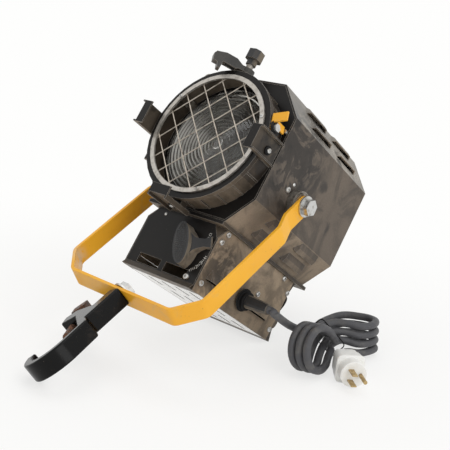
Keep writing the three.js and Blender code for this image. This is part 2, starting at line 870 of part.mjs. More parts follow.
// Cast top claw that closes the accessory slot and swings about the thumb screw's post
function topClaw() {
  const lipFront = claw.front + claw.lipDepth;
  const arm = [
    [0, 0],
    [claw.neck, 0],
    [claw.neck + claw.noseSlope, claw.throat],
    [claw.front, claw.throat],
    [claw.front, claw.lip],
    [lipFront, claw.lip],
    [lipFront + claw.noseSlope, claw.noseLow],
    [claw.nose - claw.noseSlope, claw.noseLow],
    [claw.nose, claw.brow],
    [claw.nose - claw.noseSlope, claw.noseTop],
    [claw.front, claw.crest],
    [claw.back, claw.crest],
    [claw.eye, claw.eyeHeight],
    [0, claw.eyeHeight],
  ];
  const body = slab(arm, 'y', -claw.halfWidth, claw.halfWidth);
  const hollow = block(
    [claw.neck + claw.wall, claw.front - claw.wall],
    [-claw.halfWidth + claw.wall, claw.halfWidth - claw.wall],
    [claw.throat - overrun, claw.crest - claw.wall],
  );
  const eye = bar('z', [0, 0], claw.eye, 0, claw.eyeHeight);
  const bore = bar('z', [0, 0], post.radius + runningGap, -overrun, claw.eyeHeight + overrun);
  const whole = join(body.subtract(hollow), eye).subtract(bore);
  return moved(whole.rotate([0, 0, claw.angle]), post.x, post.y, post.bossTop + claw.seat);
}

function thumbKnob() {
  const collarLow = post.bossTop + claw.seat + claw.eyeHeight + gap;
  const low = post.top - thumb.height / 2;
  const half = thumb.size / 2;
  const cut = half - thumb.chamfer;
  const head = slab([[half, -cut], [half, cut], [cut, half], [-cut, half], [-half, cut],
    [-half, -cut], [-cut, -half], [cut, -half]].map(([x, y]) => [x + post.x, y + post.y]),
  'z', low, low + thumb.height);
  const collar = bar('z', [post.x, post.y], thumb.collar, low - thumb.collarHeight, low + overrun);
  const bore = bar('z', [post.x, post.y], post.radius + runningGap, collarLow, post.top + runningGap);
  return join(head, collar).subtract(bore);
}

function carriagePlate() {
  const top = rod.z + carriage.saddle;
  const y = carriage.bulbY;
  const span = [y - carriage.halfLength, y + carriage.halfLength];
  const plate = block([-carriage.halfWidth, carriage.halfWidth], span, [top - carriage.thickness, top]);
  const saddles = [-rod.x, rod.x].map((x) => block([x - carriage.saddle, x + carriage.saddle], span,
    [rod.z - carriage.saddle, top]));
  const bores = [-rod.x, rod.x].map((x) => bar('y', [x, rod.z], rod.radius + runningGap,
    span[0] - overrun, span[1] + overrun));
  const column = block([slotX - stem.halfThickness, slotX + stem.halfThickness],
    [y - stem.halfLength, y + stem.halfLength], [focus.z, top]);
  const nut = bar('y', [focus.x, focus.z], stem.nut, y - stem.halfLength, y + stem.halfLength);
  const nutBore = bar('y', [focus.x, focus.z], focus.radius + runningGap,
    y - stem.halfLength - overrun, y + stem.halfLength + overrun);
  let body = join(plate, ...saddles, column, nut).subtract(nutBore);
  for (const bore of bores) {
    body = body.subtract(bore);
  }
  return body;
}

function reflectorBowl() {
  const outer = reflector.radius + reflector.wall;
  const centreY = carriage.bulbY;
  const profile = (radius, from, to) => arc([0, centreY], radius, from, to, 8).map(([x, y]) => [x, y]);
  const start = 90 - reflector.halfAngle;
  const ring = [...profile(outer, start, 90), ...profile(reflector.radius, 90, start)];
  ring[8][0] = 0;
  ring[9][0] = 0;
  const points = ring.map(([x, y]) => new THREE.Vector2(x, y));
  const bowl = solid(new THREE.LatheGeometry([...points, points[0].clone()], 28)
    .translate(0, 0, lensAxis));
  const low = rod.z + carriage.saddle + gap;
  const halfMount = reflector.mount;
  const backY = centreY + reflector.radius * Math.sin(start * degrees);
  const strut = block([-halfMount, halfMount], [backY, backY + reflector.strut],
    [low, lensAxis - reflector.radius * Math.cos(start * degrees) + overrun * 2]);
  return { bowl, strut, low, backY };
}

function bulbGlass() {
  const low = rod.z + carriage.saddle + gap + socket.height + gap;
  const profile = [
    [0, 0],
    [bulb.neck, 0],
    [bulb.neck, bulb.neckLength],
    [bulb.radius, bulb.neckLength * 2],
    [bulb.radius, bulb.length - bulb.radius],
    ...arc([0, bulb.length - bulb.radius], bulb.radius, bulbTip.from, bulbTip.to, bulbTip.steps),
    [0, bulb.length],
  ].map(([radius, height]) => new THREE.Vector2(radius, height));
  const geometry = new THREE.LatheGeometry(profile, smallRoundSteps).rotateX(Math.PI / 2);
  return solid(geometry.translate(0, carriage.bulbY, low));
}

// Yoke strap hanging down from the pivot, bent from one flat bar
function yokeStrap() {
  const outer = [
    [yoke.pivotHalfSpan, yoke.width],
    [yoke.pivotHalfSpan, -yoke.joggleStart],
    [yoke.halfSpan, -yoke.joggleEnd],
    [yoke.halfSpan, -yoke.length + yoke.corner],
    [yoke.halfSpan - yoke.corner, -yoke.length],
  ];
  const half = [...outer, ...outer.slice().reverse().map(([x, z]) => [-x, z])];
  const wound = half.slice().reverse();
  const inner = inset(wound, yoke.thickness);
  inner[0][1] = yoke.width * 2;
  inner[inner.length - 1][1] = yoke.width * 2;
  const strapHalf = yoke.width / 2;
  const strap = slab(wound, 'y', -strapHalf, strapHalf)
    .subtract(slab(inner, 'y', -strapHalf - overrun, strapHalf + overrun));
  const reach = yoke.halfSpan + overrun;
  const side = slab([
    ...arc([0, 0], strapHalf, 0, 180, 10),
    [-strapHalf, -yoke.length - overrun],
    [strapHalf, -yoke.length - overrun],
  ], 'x', -reach, reach);
  const pivotHole = bar('x', [0, 0], yoke.hole, -reach, reach);
  const low = -yoke.length - overrun;
  const clampHole = bar('z', [0, 0], yoke.hole, low, -yoke.length + yoke.thickness + overrun);
  return strap.intersect(side).subtract(pivotHole).subtract(clampHole);
}

function pivotBolt() {
  const face = yoke.pivotHalfSpan + gap;
  const washerTop = face + pivot.washerThickness;
  const washer = bar('x', [0, 0], pivot.washer, face, washerTop, 24);
  const head = hexHead('x', [0, 0], pivot.head, washerTop - overrun / 2, washerTop + pivot.headHeight);
  const shank = bar('x', [0, 0], pivot.bolt, housing.halfWidth - housing.sheet - overrun * 4, face + overrun);
  return join(washer, head, shank);
}

function frictionDisc() {
  const from = housing.halfWidth + gap;
  const to = yoke.pivotHalfSpan - yoke.thickness - gap;
  const lining = bar('x', [0, 0], friction.lining, to - friction.liningThickness, to, 28);
  const disc = bar('x', [0, 0], friction.radius, from, to - friction.liningThickness + overrun / 2, 28);
  return join(lining, disc).subtract(bar('x', [0, 0], friction.bore, from - overrun, to + overrun));
}

function yokeBolt() {
  const inner = -yoke.length + yoke.thickness + gap;
  const washerTop = inner + clampBolt.washerThickness;
  const washer = bar('z', [0, 0], clampBolt.washer, inner, washerTop, 24);
  const head = hexHead('z', [0, 0], clampBolt.head, washerTop - overrun / 2, washerTop + clampBolt.headHeight);
  const shank = bar('z', [0, 0], pivot.bolt, -yoke.length - clampBolt.depth, inner + overrun);
  return join(washer, head, shank);
}

// Clamp drawn with the shank hanging from z = 0 and the mouth towards +X
const boreCentre = [hook.boreX, -hook.boreDown];
const bossCentre = [boss.x, -boss.down];
const screwRun = Math.hypot(bossCentre[0] - boreCentre[0], bossCentre[1] - boreCentre[1]);
const screwDir = [
  (bossCentre[0] - boreCentre[0]) / screwRun,
  (bossCentre[1] - boreCentre[1]) / screwRun,
];
const screwAngle = Math.atan2(screwDir[1], screwDir[0]) / degrees;

function hookOutline() {
  const backX = boreCentre[0] - hook.bore - hook.wall;
  const across = [-screwDir[1], screwDir[0]];
  const bossPoint = (out, side) => [
    bossCentre[0] + screwDir[0] * out + across[0] * side,
    bossCentre[1] + screwDir[1] * out + across[1] * side,
  ];
  return [
    [-hook.shankHalf, 0],
    [-hook.shankHalf, -hook.shank],
    [backX + hook.step / 2, -hook.shank - hook.step],
    ...arc(boreCentre, hook.bore + hook.wall, 180, 360 + hook.tipAngle, 14),
    ...arc(boreCentre, hook.bore, 360 + hook.tipAngle + hook.tipBevel, 180, 12),
    [boreCentre[0] - hook.bore, boreCentre[1] + hook.bore],
    bossPoint(-boss.reach, boss.half),
    bossPoint(-boss.reach * boss.heelShare, -boss.half),
    bossPoint(boss.reach, -boss.half),
    bossPoint(boss.reach, boss.half / 2),
    [hook.shankHalf, -hook.shank / 2],
    [hook.shankHalf, 0],
  ];
}

function hookBody() {
  const half = hook.width / 2;
  const body = slab(hookOutline(), 'y', -half, half);
  const screwHole = bar('x', [0, 0], screw.hole, -hook.bore, hook.bore)
    .rotate([0, -screwAngle, 0]).translate([bossCentre[0], 0, bossCentre[1]]);
  const boltHole = bar('z', [0, 0], pivot.bolt + gap, -clampBolt.depth - overrun, overrun);
  return body.subtract(screwHole).subtract(boltHole);
}

function clampScrew() {
  const headFrom = boss.reach + screw.stand;
  const shank = bar('x', [0, 0], screw.radius, -screw.tip, headFrom + overrun, screw.sides);
  const head = block([headFrom, headFrom + screw.headHeight], [-screw.head, screw.head],
    [-screw.head, screw.head]);
  return join(shank, head).rotate([0, -screwAngle, 0]).translate([bossCentre[0], 0, bossCentre[1]]);
}

function cableGland() {
  const nut = hexHead('x', [gland.y, gland.z], gland.flange, box.halfWidth + gap,
    box.halfWidth + gap + gland.flangeDepth);
  const neck = bar('x', [gland.y, gland.z], gland.bore, box.halfWidth - gland.neck, box.halfWidth + overrun);
  return join(nut, neck);
}

function strainRelief() {
  const start = box.halfWidth + gap * 2 + gland.flangeDepth;
  const profile = [
    [0, 0],
    [relief.base, 0],
    [relief.base, relief.length / 4],
    [relief.tip, relief.length],
    [0, relief.length],
  ].map(([radius, height]) => new THREE.Vector2(radius, height));
  const geometry = new THREE.LatheGeometry(profile, smallRoundSteps).rotateZ(-Math.PI / 2);
  return solid(geometry.translate(start, gland.y, gland.z));
}

// The lamp, with its origin on the pivot axis
const lamp = new THREE.Group();

function addHousing() {
  piece('housing_shell', housingShell(), paint.dusty, lamp);
  piece('front_plate', frontPlate(), paint.black, lamp);
  piece('rear_panel', rearPanel(), paint.black, lamp);
  piece('base_rail', baseRail(), paint.black, lamp);
  piece('front_panel', frontTray(), paint.black, lamp);
  piece('rear_cover', rearTray(), paint.black, lamp);
  piece('side_panel_right', sidePanel(true), paint.dusty, lamp);
  piece('side_panel_left', mirroredX(sidePanel(false)), paint.dusty, lamp);
  piece('bottom_plate', bottomPlate(), paint.gloss, lamp);
  piece('terminal_block', terminalBlock(), paint.ceramic, lamp);
  piece('cable_gland', cableGland(), paint.knob, lamp);
  piece('friction_disc_right', frictionDisc(), paint.steel, lamp);
  piece('friction_disc_left', mirroredX(frictionDisc()), paint.steel, lamp);
  piece('hinge_bracket', hingeBracket(), paint.black, lamp);
  const keeperPeg = turnedAboutY(latchKeeper(), -latch.angle);
  piece('latch_keeper', moved(keeperPeg, 0, 0, lensAxis), paint.zinc, lamp);
  piece('hinge_pin', bar('z', [hinge.x, hinge.y], hinge.pin, hinge.low, hinge.high), paint.zinc, lamp);
  const rodSpan = [housing.front + housing.sheet + gap, housing.back - housing.sheet - gap];
  piece('guide_rod_right', bar('y', [rod.x, rod.z], rod.radius, ...rodSpan), paint.steel, lamp);
  piece('guide_rod_left', bar('y', [-rod.x, rod.z], rod.radius, ...rodSpan), paint.steel, lamp);
}

function addFocus() {
  const front = box.front - gap;
  const shaftSpan = [front + gap * 2, box.back + knob.skirtDepth];
  piece('focus_shaft', bar('y', [focus.x, focus.z], focus.radius, ...shaftSpan), paint.steel, lamp);
  const knobFront = focusKnob(0);
  piece('front_knob', turnedAboutY(knobFront, knob.lean).translate([focus.x, front, focus.z]),
    paint.knob, lamp);
  const rear = turnedAboutY(knobFront, -knob.lean).rotate([0, 0, 180]);
  piece('rear_knob', rear.translate([focus.x, shaftSpan[1] + gap, focus.z]), paint.knob, lamp);
  piece('lamp_carriage', carriagePlate(), paint.steel, lamp);
  const seat = rod.z + carriage.saddle + gap;
  piece('lamp_socket', block([-socket.halfWidth, socket.halfWidth],
    [carriage.bulbY - socket.halfLength, carriage.bulbY + socket.halfLength],
    [seat, seat + socket.height]), paint.ceramic, lamp);
  piece('lamp_bulb', bulbGlass(), paint.glass, lamp);
  const { bowl, strut } = reflectorBowl();
  piece('reflector', join(bowl, strut), paint.mirror, lamp);
}

function addDoor() {
  piece('door_barrel', doorBarrel(), paint.black, lamp);
  piece('fresnel_lens', fresnelLens(), paint.glass, lamp);
  clip.angles.forEach((angle, i) => {
    piece(`lens_clip_${i + 1}`, lensClip(angle), paint.steel, lamp);
  });
  piece('guard_ring', guardRing(), paint.zinc, lamp);
  piece('wire_guard', wireGrid(), paint.zinc, lamp);
  const place = (angle) => moved(turnedAboutY(accessoryChannel(), -angle), 0, 0, lensAxis);
  piece('channel_right', place(0), paint.black, lamp);
  piece('channel_left', place(180), paint.black, lamp);
  piece('channel_bottom', place(-90), paint.black, lamp);
  const onLatch = (body) => moved(turnedAboutY(body, -latch.angle), 0, 0, lensAxis);
  piece('door_latch', onLatch(doorLatch()), paint.yellow, lamp);
  piece('latch_bolt', onLatch(latchBolt()), paint.zinc, lamp);
  piece('screw_post', bar('z', [post.x, post.y], post.radius, postFoot + gap, post.top),
    paint.dusty, lamp);
  piece('top_claw', topClaw(), paint.black, lamp);
  piece('thumb_knob', thumbKnob(), paint.knob, lamp);
}

const swing = new THREE.Group();
const swivel = new THREE.Group();

function addYoke() {
  swing.rotation.x = yoke.swing * degrees;
  lamp.add(swing);
  piece('yoke_strap', yokeStrap(), paint.yellow, swing);
  piece('pivot_bolt_right', pivotBolt(), paint.zinc, swing);
  piece('pivot_bolt_left', mirroredX(pivotBolt()), paint.zinc, swing);
  piece('clamp_bolt', yokeBolt(), paint.zinc, swing);
  swivel.position.z = -yoke.length - gap;
  swivel.rotation.z = hook.swivel * degrees;
  swing.add(swivel);
  piece('hook_clamp', hookBody(), paint.gloss, swivel);
  piece('clamp_screw', clampScrew(), paint.rust, swivel);
}

addHousing();
addFocus();
addDoor();
addYoke();

// The pitch at which the rear foot of the control box and the hook share one floor
function restPitch() {
  lamp.updateMatrixWorld(true);
  const place = new THREE.Vector3();
  let pitch = 0;
  for (const [x, z] of hookOutline()) {
    for (const y of [-hook.width / 2, hook.width / 2]) {
      place.set(x, y, z).applyMatrix4(swivel.matrixWorld);
      pitch = Math.max(pitch, Math.atan2(box.bottom - place.z, box.back - place.y));
    }
  }
  return pitch;
}

const light = new THREE.Group();
light.add(lamp);
lamp.rotation.x = -restPitch();
lamp.updateMatrixWorld(true);

// Eased share of the way from one place to another
function eased(value, from, length) {
  const share = Math.min(Math.max((value - from) / length, 0), 1);
  return share * share * (3 - 2 * share);
}

// The hank's middle line bows round the plug
function hankX(y) {
  const left = hankLeftBow.reach * (1 - eased(y, hankLeftBow.from, hankLeftBow.length));
  return hank.x + left + hankRightBow.reach * eased(y, hankRightBow.from, hankRightBow.length);
}

// Directions across the hank's columns, across its runs and along it
function hankFrame(along) {
  const y = hank.centre + along;
  const probe = overrun / 2;
  const slope = (hankX(y + probe) - hankX(y - probe)) / (probe * 2);
  const half = hank.halfLength - hank.fold;
  const share = eased(along, -half, half * 2);
  const turn = (hank.leftTurn + (hank.rightTurn - hank.leftTurn) * share) * degrees;
  const radius = cord.diameter / 2 + gap;
  const stack = (hank.turns / 2) * hank.step;
  const rest = (angle) => radius + hank.fold * Math.cos(angle * degrees)
    + stack * Math.abs(Math.sin(angle * degrees));
  const forward = new THREE.Vector3(slope, 1, 0).normalize();
  const side = new THREE.Vector3(forward.y, -forward.x, 0);
  const up = new THREE.Vector3(0, 0, 1);
  return {
    origin: new THREE.Vector3(hankX(y), y, rest(hank.leftTurn) * (1 - share) + rest(hank.rightTurn) * share),
    columns: side.clone().multiplyScalar(Math.cos(turn)).addScaledVector(up, -Math.sin(turn)),
    runs: side.clone().multiplyScalar(Math.sin(turn)).addScaledVector(up, Math.cos(turn)),
    back: forward.negate(),
  };
}

// One place on the hank's flat outline, counted in turns from the waist's lower run
function hankOutline(turn) {
  const half = hank.halfLength - hank.fold;
  const fold = Math.PI * hank.fold;
  const run = half * 2;
  const total = (run + fold) * 2;
  const across = (along) => hank.waist
    + ((hank.fold - hank.waist) * (1 - Math.cos((Math.PI * Math.abs(along)) / half))) / 2;
  const walked = (turn % 1) * total;
  if (walked < half) {
    return [walked, -across(walked)];
  }
  if (walked < half + fold) {
    const angle = (walked - half) / hank.fold - Math.PI / 2;
    return [half + hank.fold * Math.cos(angle), hank.fold * Math.sin(angle)];
  }
  if (walked < half + fold + run) {
    const along = half - (walked - half - fold);
    return [along, across(along)];
  }
  if (walked < half + fold * 2 + run) {
    const angle = (walked - half - fold - run) / hank.fold + Math.PI / 2;
    return [-half + hank.fold * Math.cos(angle), hank.fold * Math.sin(angle)];
  }
  const along = walked - total;
  return [along, -across(along)];
}

function hankPoint(turn) {
  const [along, across] = hankOutline(turn);
  const frame = hankFrame(along);
  const column = (turn - hank.turns / 2) * hank.step;
  return frame.origin.addScaledVector(frame.columns, column).addScaledVector(frame.runs, across);
}

function curvePoints(points, steps) {
  return new THREE.CatmullRomCurve3(points).getSpacedPoints(steps);
}

// A closed tube through given points, its two ends cut square
function tube(points, radius, sides) {
  const last = points.length - 1;
  const tangents = points.map((_, i) => points[Math.min(i + 1, last)].clone()
    .sub(points[Math.max(i - 1, 0)]).normalize());
  const normal = new THREE.Vector3(0, 0, 1).cross(tangents[0]).normalize();
  const twist = new THREE.Quaternion();
  const vertices = [];
  points.forEach((point, i) => {
    if (i > 0) {
      normal.applyQuaternion(twist.setFromUnitVectors(tangents[i - 1], tangents[i]));
    }
    const binormal = tangents[i].clone().cross(normal);
    for (let j = 0; j < sides; j += 1) {
      const angle = (j / sides) * Math.PI * 2;
      vertices.push(point.clone().addScaledVector(normal, radius * Math.cos(angle))
        .addScaledVector(binormal, radius * Math.sin(angle)));
    }
  });
  return ringed(vertices, sides);
}

// A closed form from rings of equally many points, one ring after another
function ringed(vertices, sides) {
  const rings = vertices.length / sides;
  const faces = [];
  for (let i = 0; i < rings - 1; i += 1) {
    for (let j = 0; j < sides; j += 1) {
      const a = i * sides + j;
      const b = i * sides + ((j + 1) % sides);
      faces.push(a, b, b + sides, a, b + sides, a + sides);
    }
  }
  const end = vertices.length - sides;
  for (let j = 1; j < sides - 1; j += 1) {
    faces.push(0, j + 1, j, end, end + j, end + j + 1);
  }
  const geometry = new THREE.BufferGeometry();
  geometry.setAttribute('position', new THREE.Float32BufferAttribute(vertices.flatMap((v) => v.toArray()), 3));
  geometry.setIndex(faces);
  geometry.computeVertexNormals();
  return geometry;
}

// The smallest distance between two stretches that aren't neighbours, less one diameter
function leastSelfGap(points) {
  const fine = [];
  for (let i = 0; i < points.length - 1; i += 1) {
    for (let j = 0; j < 8; j += 1) {
      fine.push(points[i].clone().lerp(points[i + 1], j / 8));
    }
  }
  const reach = cord.diameter * 3;
  const walked = [0];
  fine.forEach((point, i) => {
    if (i > 0) {
      walked.push(walked[i - 1] + point.distanceTo(fine[i - 1]));
    }
  });
  let least = Infinity;
  for (let i = 0; i < fine.length; i += 1) {
    for (let j = i + 1; j < fine.length; j += 1) {
      if (walked[j] - walked[i] > reach) {
        least = Math.min(least, fine[i].distanceTo(fine[j]));
      }
    }
  }
  return least - cord.diameter;
}

const plugDirection = new THREE.Vector3(1, 0, 0).applyAxisAngle(new THREE.Vector3(0, 0, 1), plug.heading * degrees);
const plugBack = new THREE.Vector3(plug.x, plug.y, plug.z);

function hankPoints() {
  const count = Math.round(hank.turns * hank.stepsPerTurn);
  const loops = Array.from({ length: count + 1 }, (_, i) => hankPoint((i / count) * hank.turns));
  const before = loops[count - 1];
  const entry = plugBack.clone().addScaledVector(plugDirection, -cord.diameter);
  const tail = curvePoints([
    before,
    loops[count],
    ...tailRoute.map((place) => new THREE.Vector3(...place)),
    entry,
  ], tailSteps + 1);
  const end = plugBack.clone().addScaledVector(plugDirection, -gap);
  return [...loops, ...tail.filter((point) => point.distanceTo(before) > before.distanceTo(loops[count])
    + cord.diameter / 2), end];
}

function leadPoints(hankStart, hankNext) {
  const tip = new THREE.Vector3(box.halfWidth + gap * 3 + gland.flangeDepth + relief.length, gland.y, gland.z)
    .applyMatrix4(lamp.matrixWorld);
  const straight = tip.clone();
  straight.x += cord.diameter;
  const approach = hankNext.clone().sub(hankStart).normalize();
  const end = hankStart.clone().addScaledVector(approach, -gap);
  const before = end.clone().addScaledVector(approach, -cord.diameter);
  const middle = curvePoints([
    straight,
    ...leadRoute.map((place) => new THREE.Vector3(...place)),
    before,
  ], leadSteps);
  return [tip, ...middle, end];
}

function hankTie() {
  const frame = hankFrame(0);
  const radius = cord.diameter / 2 + tie.slack;
  const low = (-hank.turns / 2) * hank.step - radius;
  const high = (Math.floor(hank.turns) - hank.turns / 2) * hank.step + radius;
  const rise = hank.waist + radius;
  const loop = (extra) => {
    const left = low - extra;
    const right = high + extra;
    const top = rise + extra;
    const cut = tie.corner;
    return [
      [left + cut, -top],
      [right - cut, -top],
      [right, -top + cut],
      [right, top - cut],
      [right - cut, top],
      [left + cut, top],
      [left, top - cut],
      [left, -top + cut],
    ];
  };
  const band = slab(loop(tie.thickness), 'z', -tie.width / 2, tie.width / 2, [loop(0)]);
  const geometry = geometryOf(band);
  const basis = new THREE.Matrix4().makeBasis(frame.columns, frame.runs, frame.back);
  return geometry.applyMatrix4(basis.setPosition(frame.origin));
}

// Plug drawn along +X from its back face, square behind and round in front
function plugBody() {
  const sides = 24;
  const ring = (x, radius, squareness) => Array.from({ length: sides }, (_, j) => {
    const angle = (j / sides) * Math.PI * 2;
    const c = Math.cos(angle);
    const d = Math.sin(angle);
    const square = 1 / Math.max(Math.abs(c), Math.abs(d), (Math.abs(c) + Math.abs(d)) / plug.squareness);
    const reach = radius * (1 + (square - 1) * squareness);
    return new THREE.Vector3(x, reach * c, reach * d);
  });
  const rings = [
    ...ring(0, plug.back, 1),
    ...ring(plug.backLength, plug.shoulder, 1),
    ...ring(plug.backLength + plug.chamfer, plug.face, 0.8),
    ...ring(plug.length, plug.face, 0),
  ];
  return ringed(rings, sides);
}

function plugBlade(side) {
  const z = (side * blade.apart) / 2;
  const from = plug.length + gap;
  const plate = block(
    [from, from + blade.length],
    [blade.side - blade.width / 2, blade.side + blade.width / 2],
    [z - blade.thickness / 2, z + blade.thickness / 2],
  );
  const hole = bar('z', [from + blade.holeAt, blade.side], blade.hole, z - overrun, z + overrun, 10);
  return geometryOf(plate.subtract(hole));
}

function plugGround() {
  const from = plug.length + gap;
  const pin = bar('x', [groundPin.side, 0], groundPin.radius, from, from + groundPin.length, 12);
  return geometryOf(pin);
}

const loose = new THREE.Group();
light.add(loose);

function addCord() {
  piece('strain_relief', strainRelief(), paint.rubber, lamp);
  const wound = hankPoints();
  console.log(`least gap between the hank's turns: ${leastSelfGap(wound).toFixed(2)} mm`);
  piece('cord_hank', tube(wound, cord.diameter / 2, hank.sides), paint.rubber, loose);
  piece('cord_lead', tube(leadPoints(wound[0], wound[1]), cord.diameter / 2, cord.sides), paint.rubber, loose);
  piece('cord_tie', hankTie(), paint.black, loose);
  const place = new THREE.Matrix4().makeRotationZ(plug.heading * degrees).setPosition(plugBack);
  piece('plug_body', plugBody().applyMatrix4(place), paint.plug, loose);
  piece('plug_blade_upper', plugBlade(1).applyMatrix4(place), paint.brass, loose);
  piece('plug_blade_lower', plugBlade(-1).applyMatrix4(place), paint.brass, loose);
  piece('plug_ground', plugGround().applyMatrix4(place), paint.brass, loose);
}

// The floor lies under the lamp's lowest point, and the cord's route is measured from there
lamp.position.z = -new THREE.Box3().setFromObject(lamp, true).min.z;
light.updateMatrixWorld(true);
const bounds = new THREE.Box3().setFromObject(lamp, true);
addCord();
light.children.forEach((group) => {
  group.position.x -= (bounds.min.x + bounds.max.x) / 2;
  group.position.y -= (bounds.min.y + bounds.max.y) / 2;
});

export default light;
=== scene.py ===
"""Theatre fresnel light lying back on its control box and hook: looks, cord, small parts and studio."""

import json
from math import atan2, copysign, cos, pi, radians, sin, sqrt, tan, tau
from types import SimpleNamespace as Sizes

import bmesh
import bpy
from mathutils import Color, Matrix, Vector


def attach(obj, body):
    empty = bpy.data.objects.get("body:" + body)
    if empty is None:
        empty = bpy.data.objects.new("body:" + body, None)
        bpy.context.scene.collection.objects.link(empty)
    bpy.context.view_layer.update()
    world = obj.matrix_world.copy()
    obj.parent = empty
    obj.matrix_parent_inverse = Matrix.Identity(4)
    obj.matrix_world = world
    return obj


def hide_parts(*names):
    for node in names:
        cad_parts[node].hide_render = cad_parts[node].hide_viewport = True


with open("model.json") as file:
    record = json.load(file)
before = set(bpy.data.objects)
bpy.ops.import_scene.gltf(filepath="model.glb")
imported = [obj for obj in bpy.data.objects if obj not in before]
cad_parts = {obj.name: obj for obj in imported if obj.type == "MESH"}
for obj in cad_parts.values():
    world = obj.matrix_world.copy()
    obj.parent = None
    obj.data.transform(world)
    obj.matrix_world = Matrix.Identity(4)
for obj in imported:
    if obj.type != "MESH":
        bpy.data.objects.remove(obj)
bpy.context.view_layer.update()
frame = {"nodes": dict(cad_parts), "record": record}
nodes = frame["nodes"]

MM = 0.001
RIGHT_ANGLE = pi / 2

# Faces that meet at a larger angle than this keep a sharp edge
SHARP = radians(32)

# The lamp's own frame: origin on the yoke's pivot axis, -Y to the lens, +Z to the lamp's roof
PITCH = radians(32.651960)
PIVOT = Vector((0, 0.06854129, 0.19176208))
LAMP = Matrix.Translation(PIVOT) @ Matrix.Rotation(-PITCH, 4, "X")
RIGHT, LEFT = Vector((1, 0, 0)), Vector((-1, 0, 0))
FRONT, BACK = Vector((0, -1, 0)), Vector((0, 1, 0))
UP, DOWN = Vector((0, 0, 1)), Vector((0, 0, -1))

# The lens, in millimetres of the lamp's frame; its crown is as wide as 1.6 of its rings
LENS = Sizes(height=24, back=69.8, rim=4.0, radius=75.0, edge=71.0, rings=13, crown_rings=1.6)
RING_WIDTH = LENS.edge / (LENS.rings + LENS.crown_rings)

# The turn of the grooves' wave that sets one of them on the lens's edge
GROOVE_TURN = -tau * (LENS.edge / RING_WIDTH % 1)


# Materials

# Colours as seen on a screen
WHITE = 255
TONES = {
    "black": (21, 20, 20),
    "shell_black": (30, 29, 29), "shell_dust": (116, 106, 96),
    # Paler dust of the up-facing faces, partly a painted sheen from above
    "roof_dust_and_painted_sheen": (176, 170, 161),
    # Paler dust of the down-facing faces, lightened as painted light from below
    "underside_dust_and_painted_light": (182, 164, 142),
    "frame_dust": (106, 95, 82),
    "box_dust": (170, 152, 130),
    "barrel_dust": (92, 79, 65),
    "claw_grey": (38, 38, 38), "claw_dust": (108, 105, 100),
    # The paint's edge colour on the next line is partly wear, partly a painted highlight
    "paint_speck": (150, 142, 132), "paint_edge_wear_and_highlight": (146, 140, 132),
    "yoke_yellow": (248, 184, 48), "yoke_shade": (240, 172, 40), "yoke_dust": (212, 172, 108),
    "yoke_rubbed": (222, 196, 164), "yoke_speck": (138, 98, 48), "yoke_chip": (84, 70, 56),
    "casting_black": (12, 12, 12), "casting_worn": (70, 60, 52), "casting_speck": (132, 122, 110),
    "casting_edge": (84, 78, 71),
    "zinc": (206, 206, 204), "zinc_tarnish": (150, 144, 136),
    "steel": (150, 145, 138), "steel_tarnish": (98, 90, 80),
    "wire": (198, 189, 177), "wire_tarnish": (150, 141, 130),
    "ring": (196, 191, 184), "ring_tarnish": (166, 160, 152),
    "plate": (232, 231, 228), "plate_tarnish": (206, 204, 200),
    "brass": (188, 164, 118), "brass_tarnish": (150, 124, 84),
    "aluminium": (222, 222, 224),
    "iron": (92, 62, 48),
    "dark_rust": (62, 48, 42), "rust": (128, 88, 66), "rust_edge": (126, 116, 106),
    "grip": (40, 41, 43), "grip_dust": (124, 114, 100), "grip_edge": (96, 98, 102),
    "glass": (216, 214, 208),
    "clear": (255, 255, 255),
    "ceramic": (226, 222, 210), "ceramic_dust": (200, 192, 176),
    "cord": (80, 80, 83), "cord_dust": (108, 106, 102),
    "rubber": (20, 20, 21), "rubber_dust": (48, 46, 44),
    "plug": (240, 240, 237), "plug_dust": (226, 224, 218),
    "print": (222, 220, 214), "print_dust": (186, 182, 174),
    "floor": (252, 251, 250),
    "backdrop": (254, 254, 253),
}

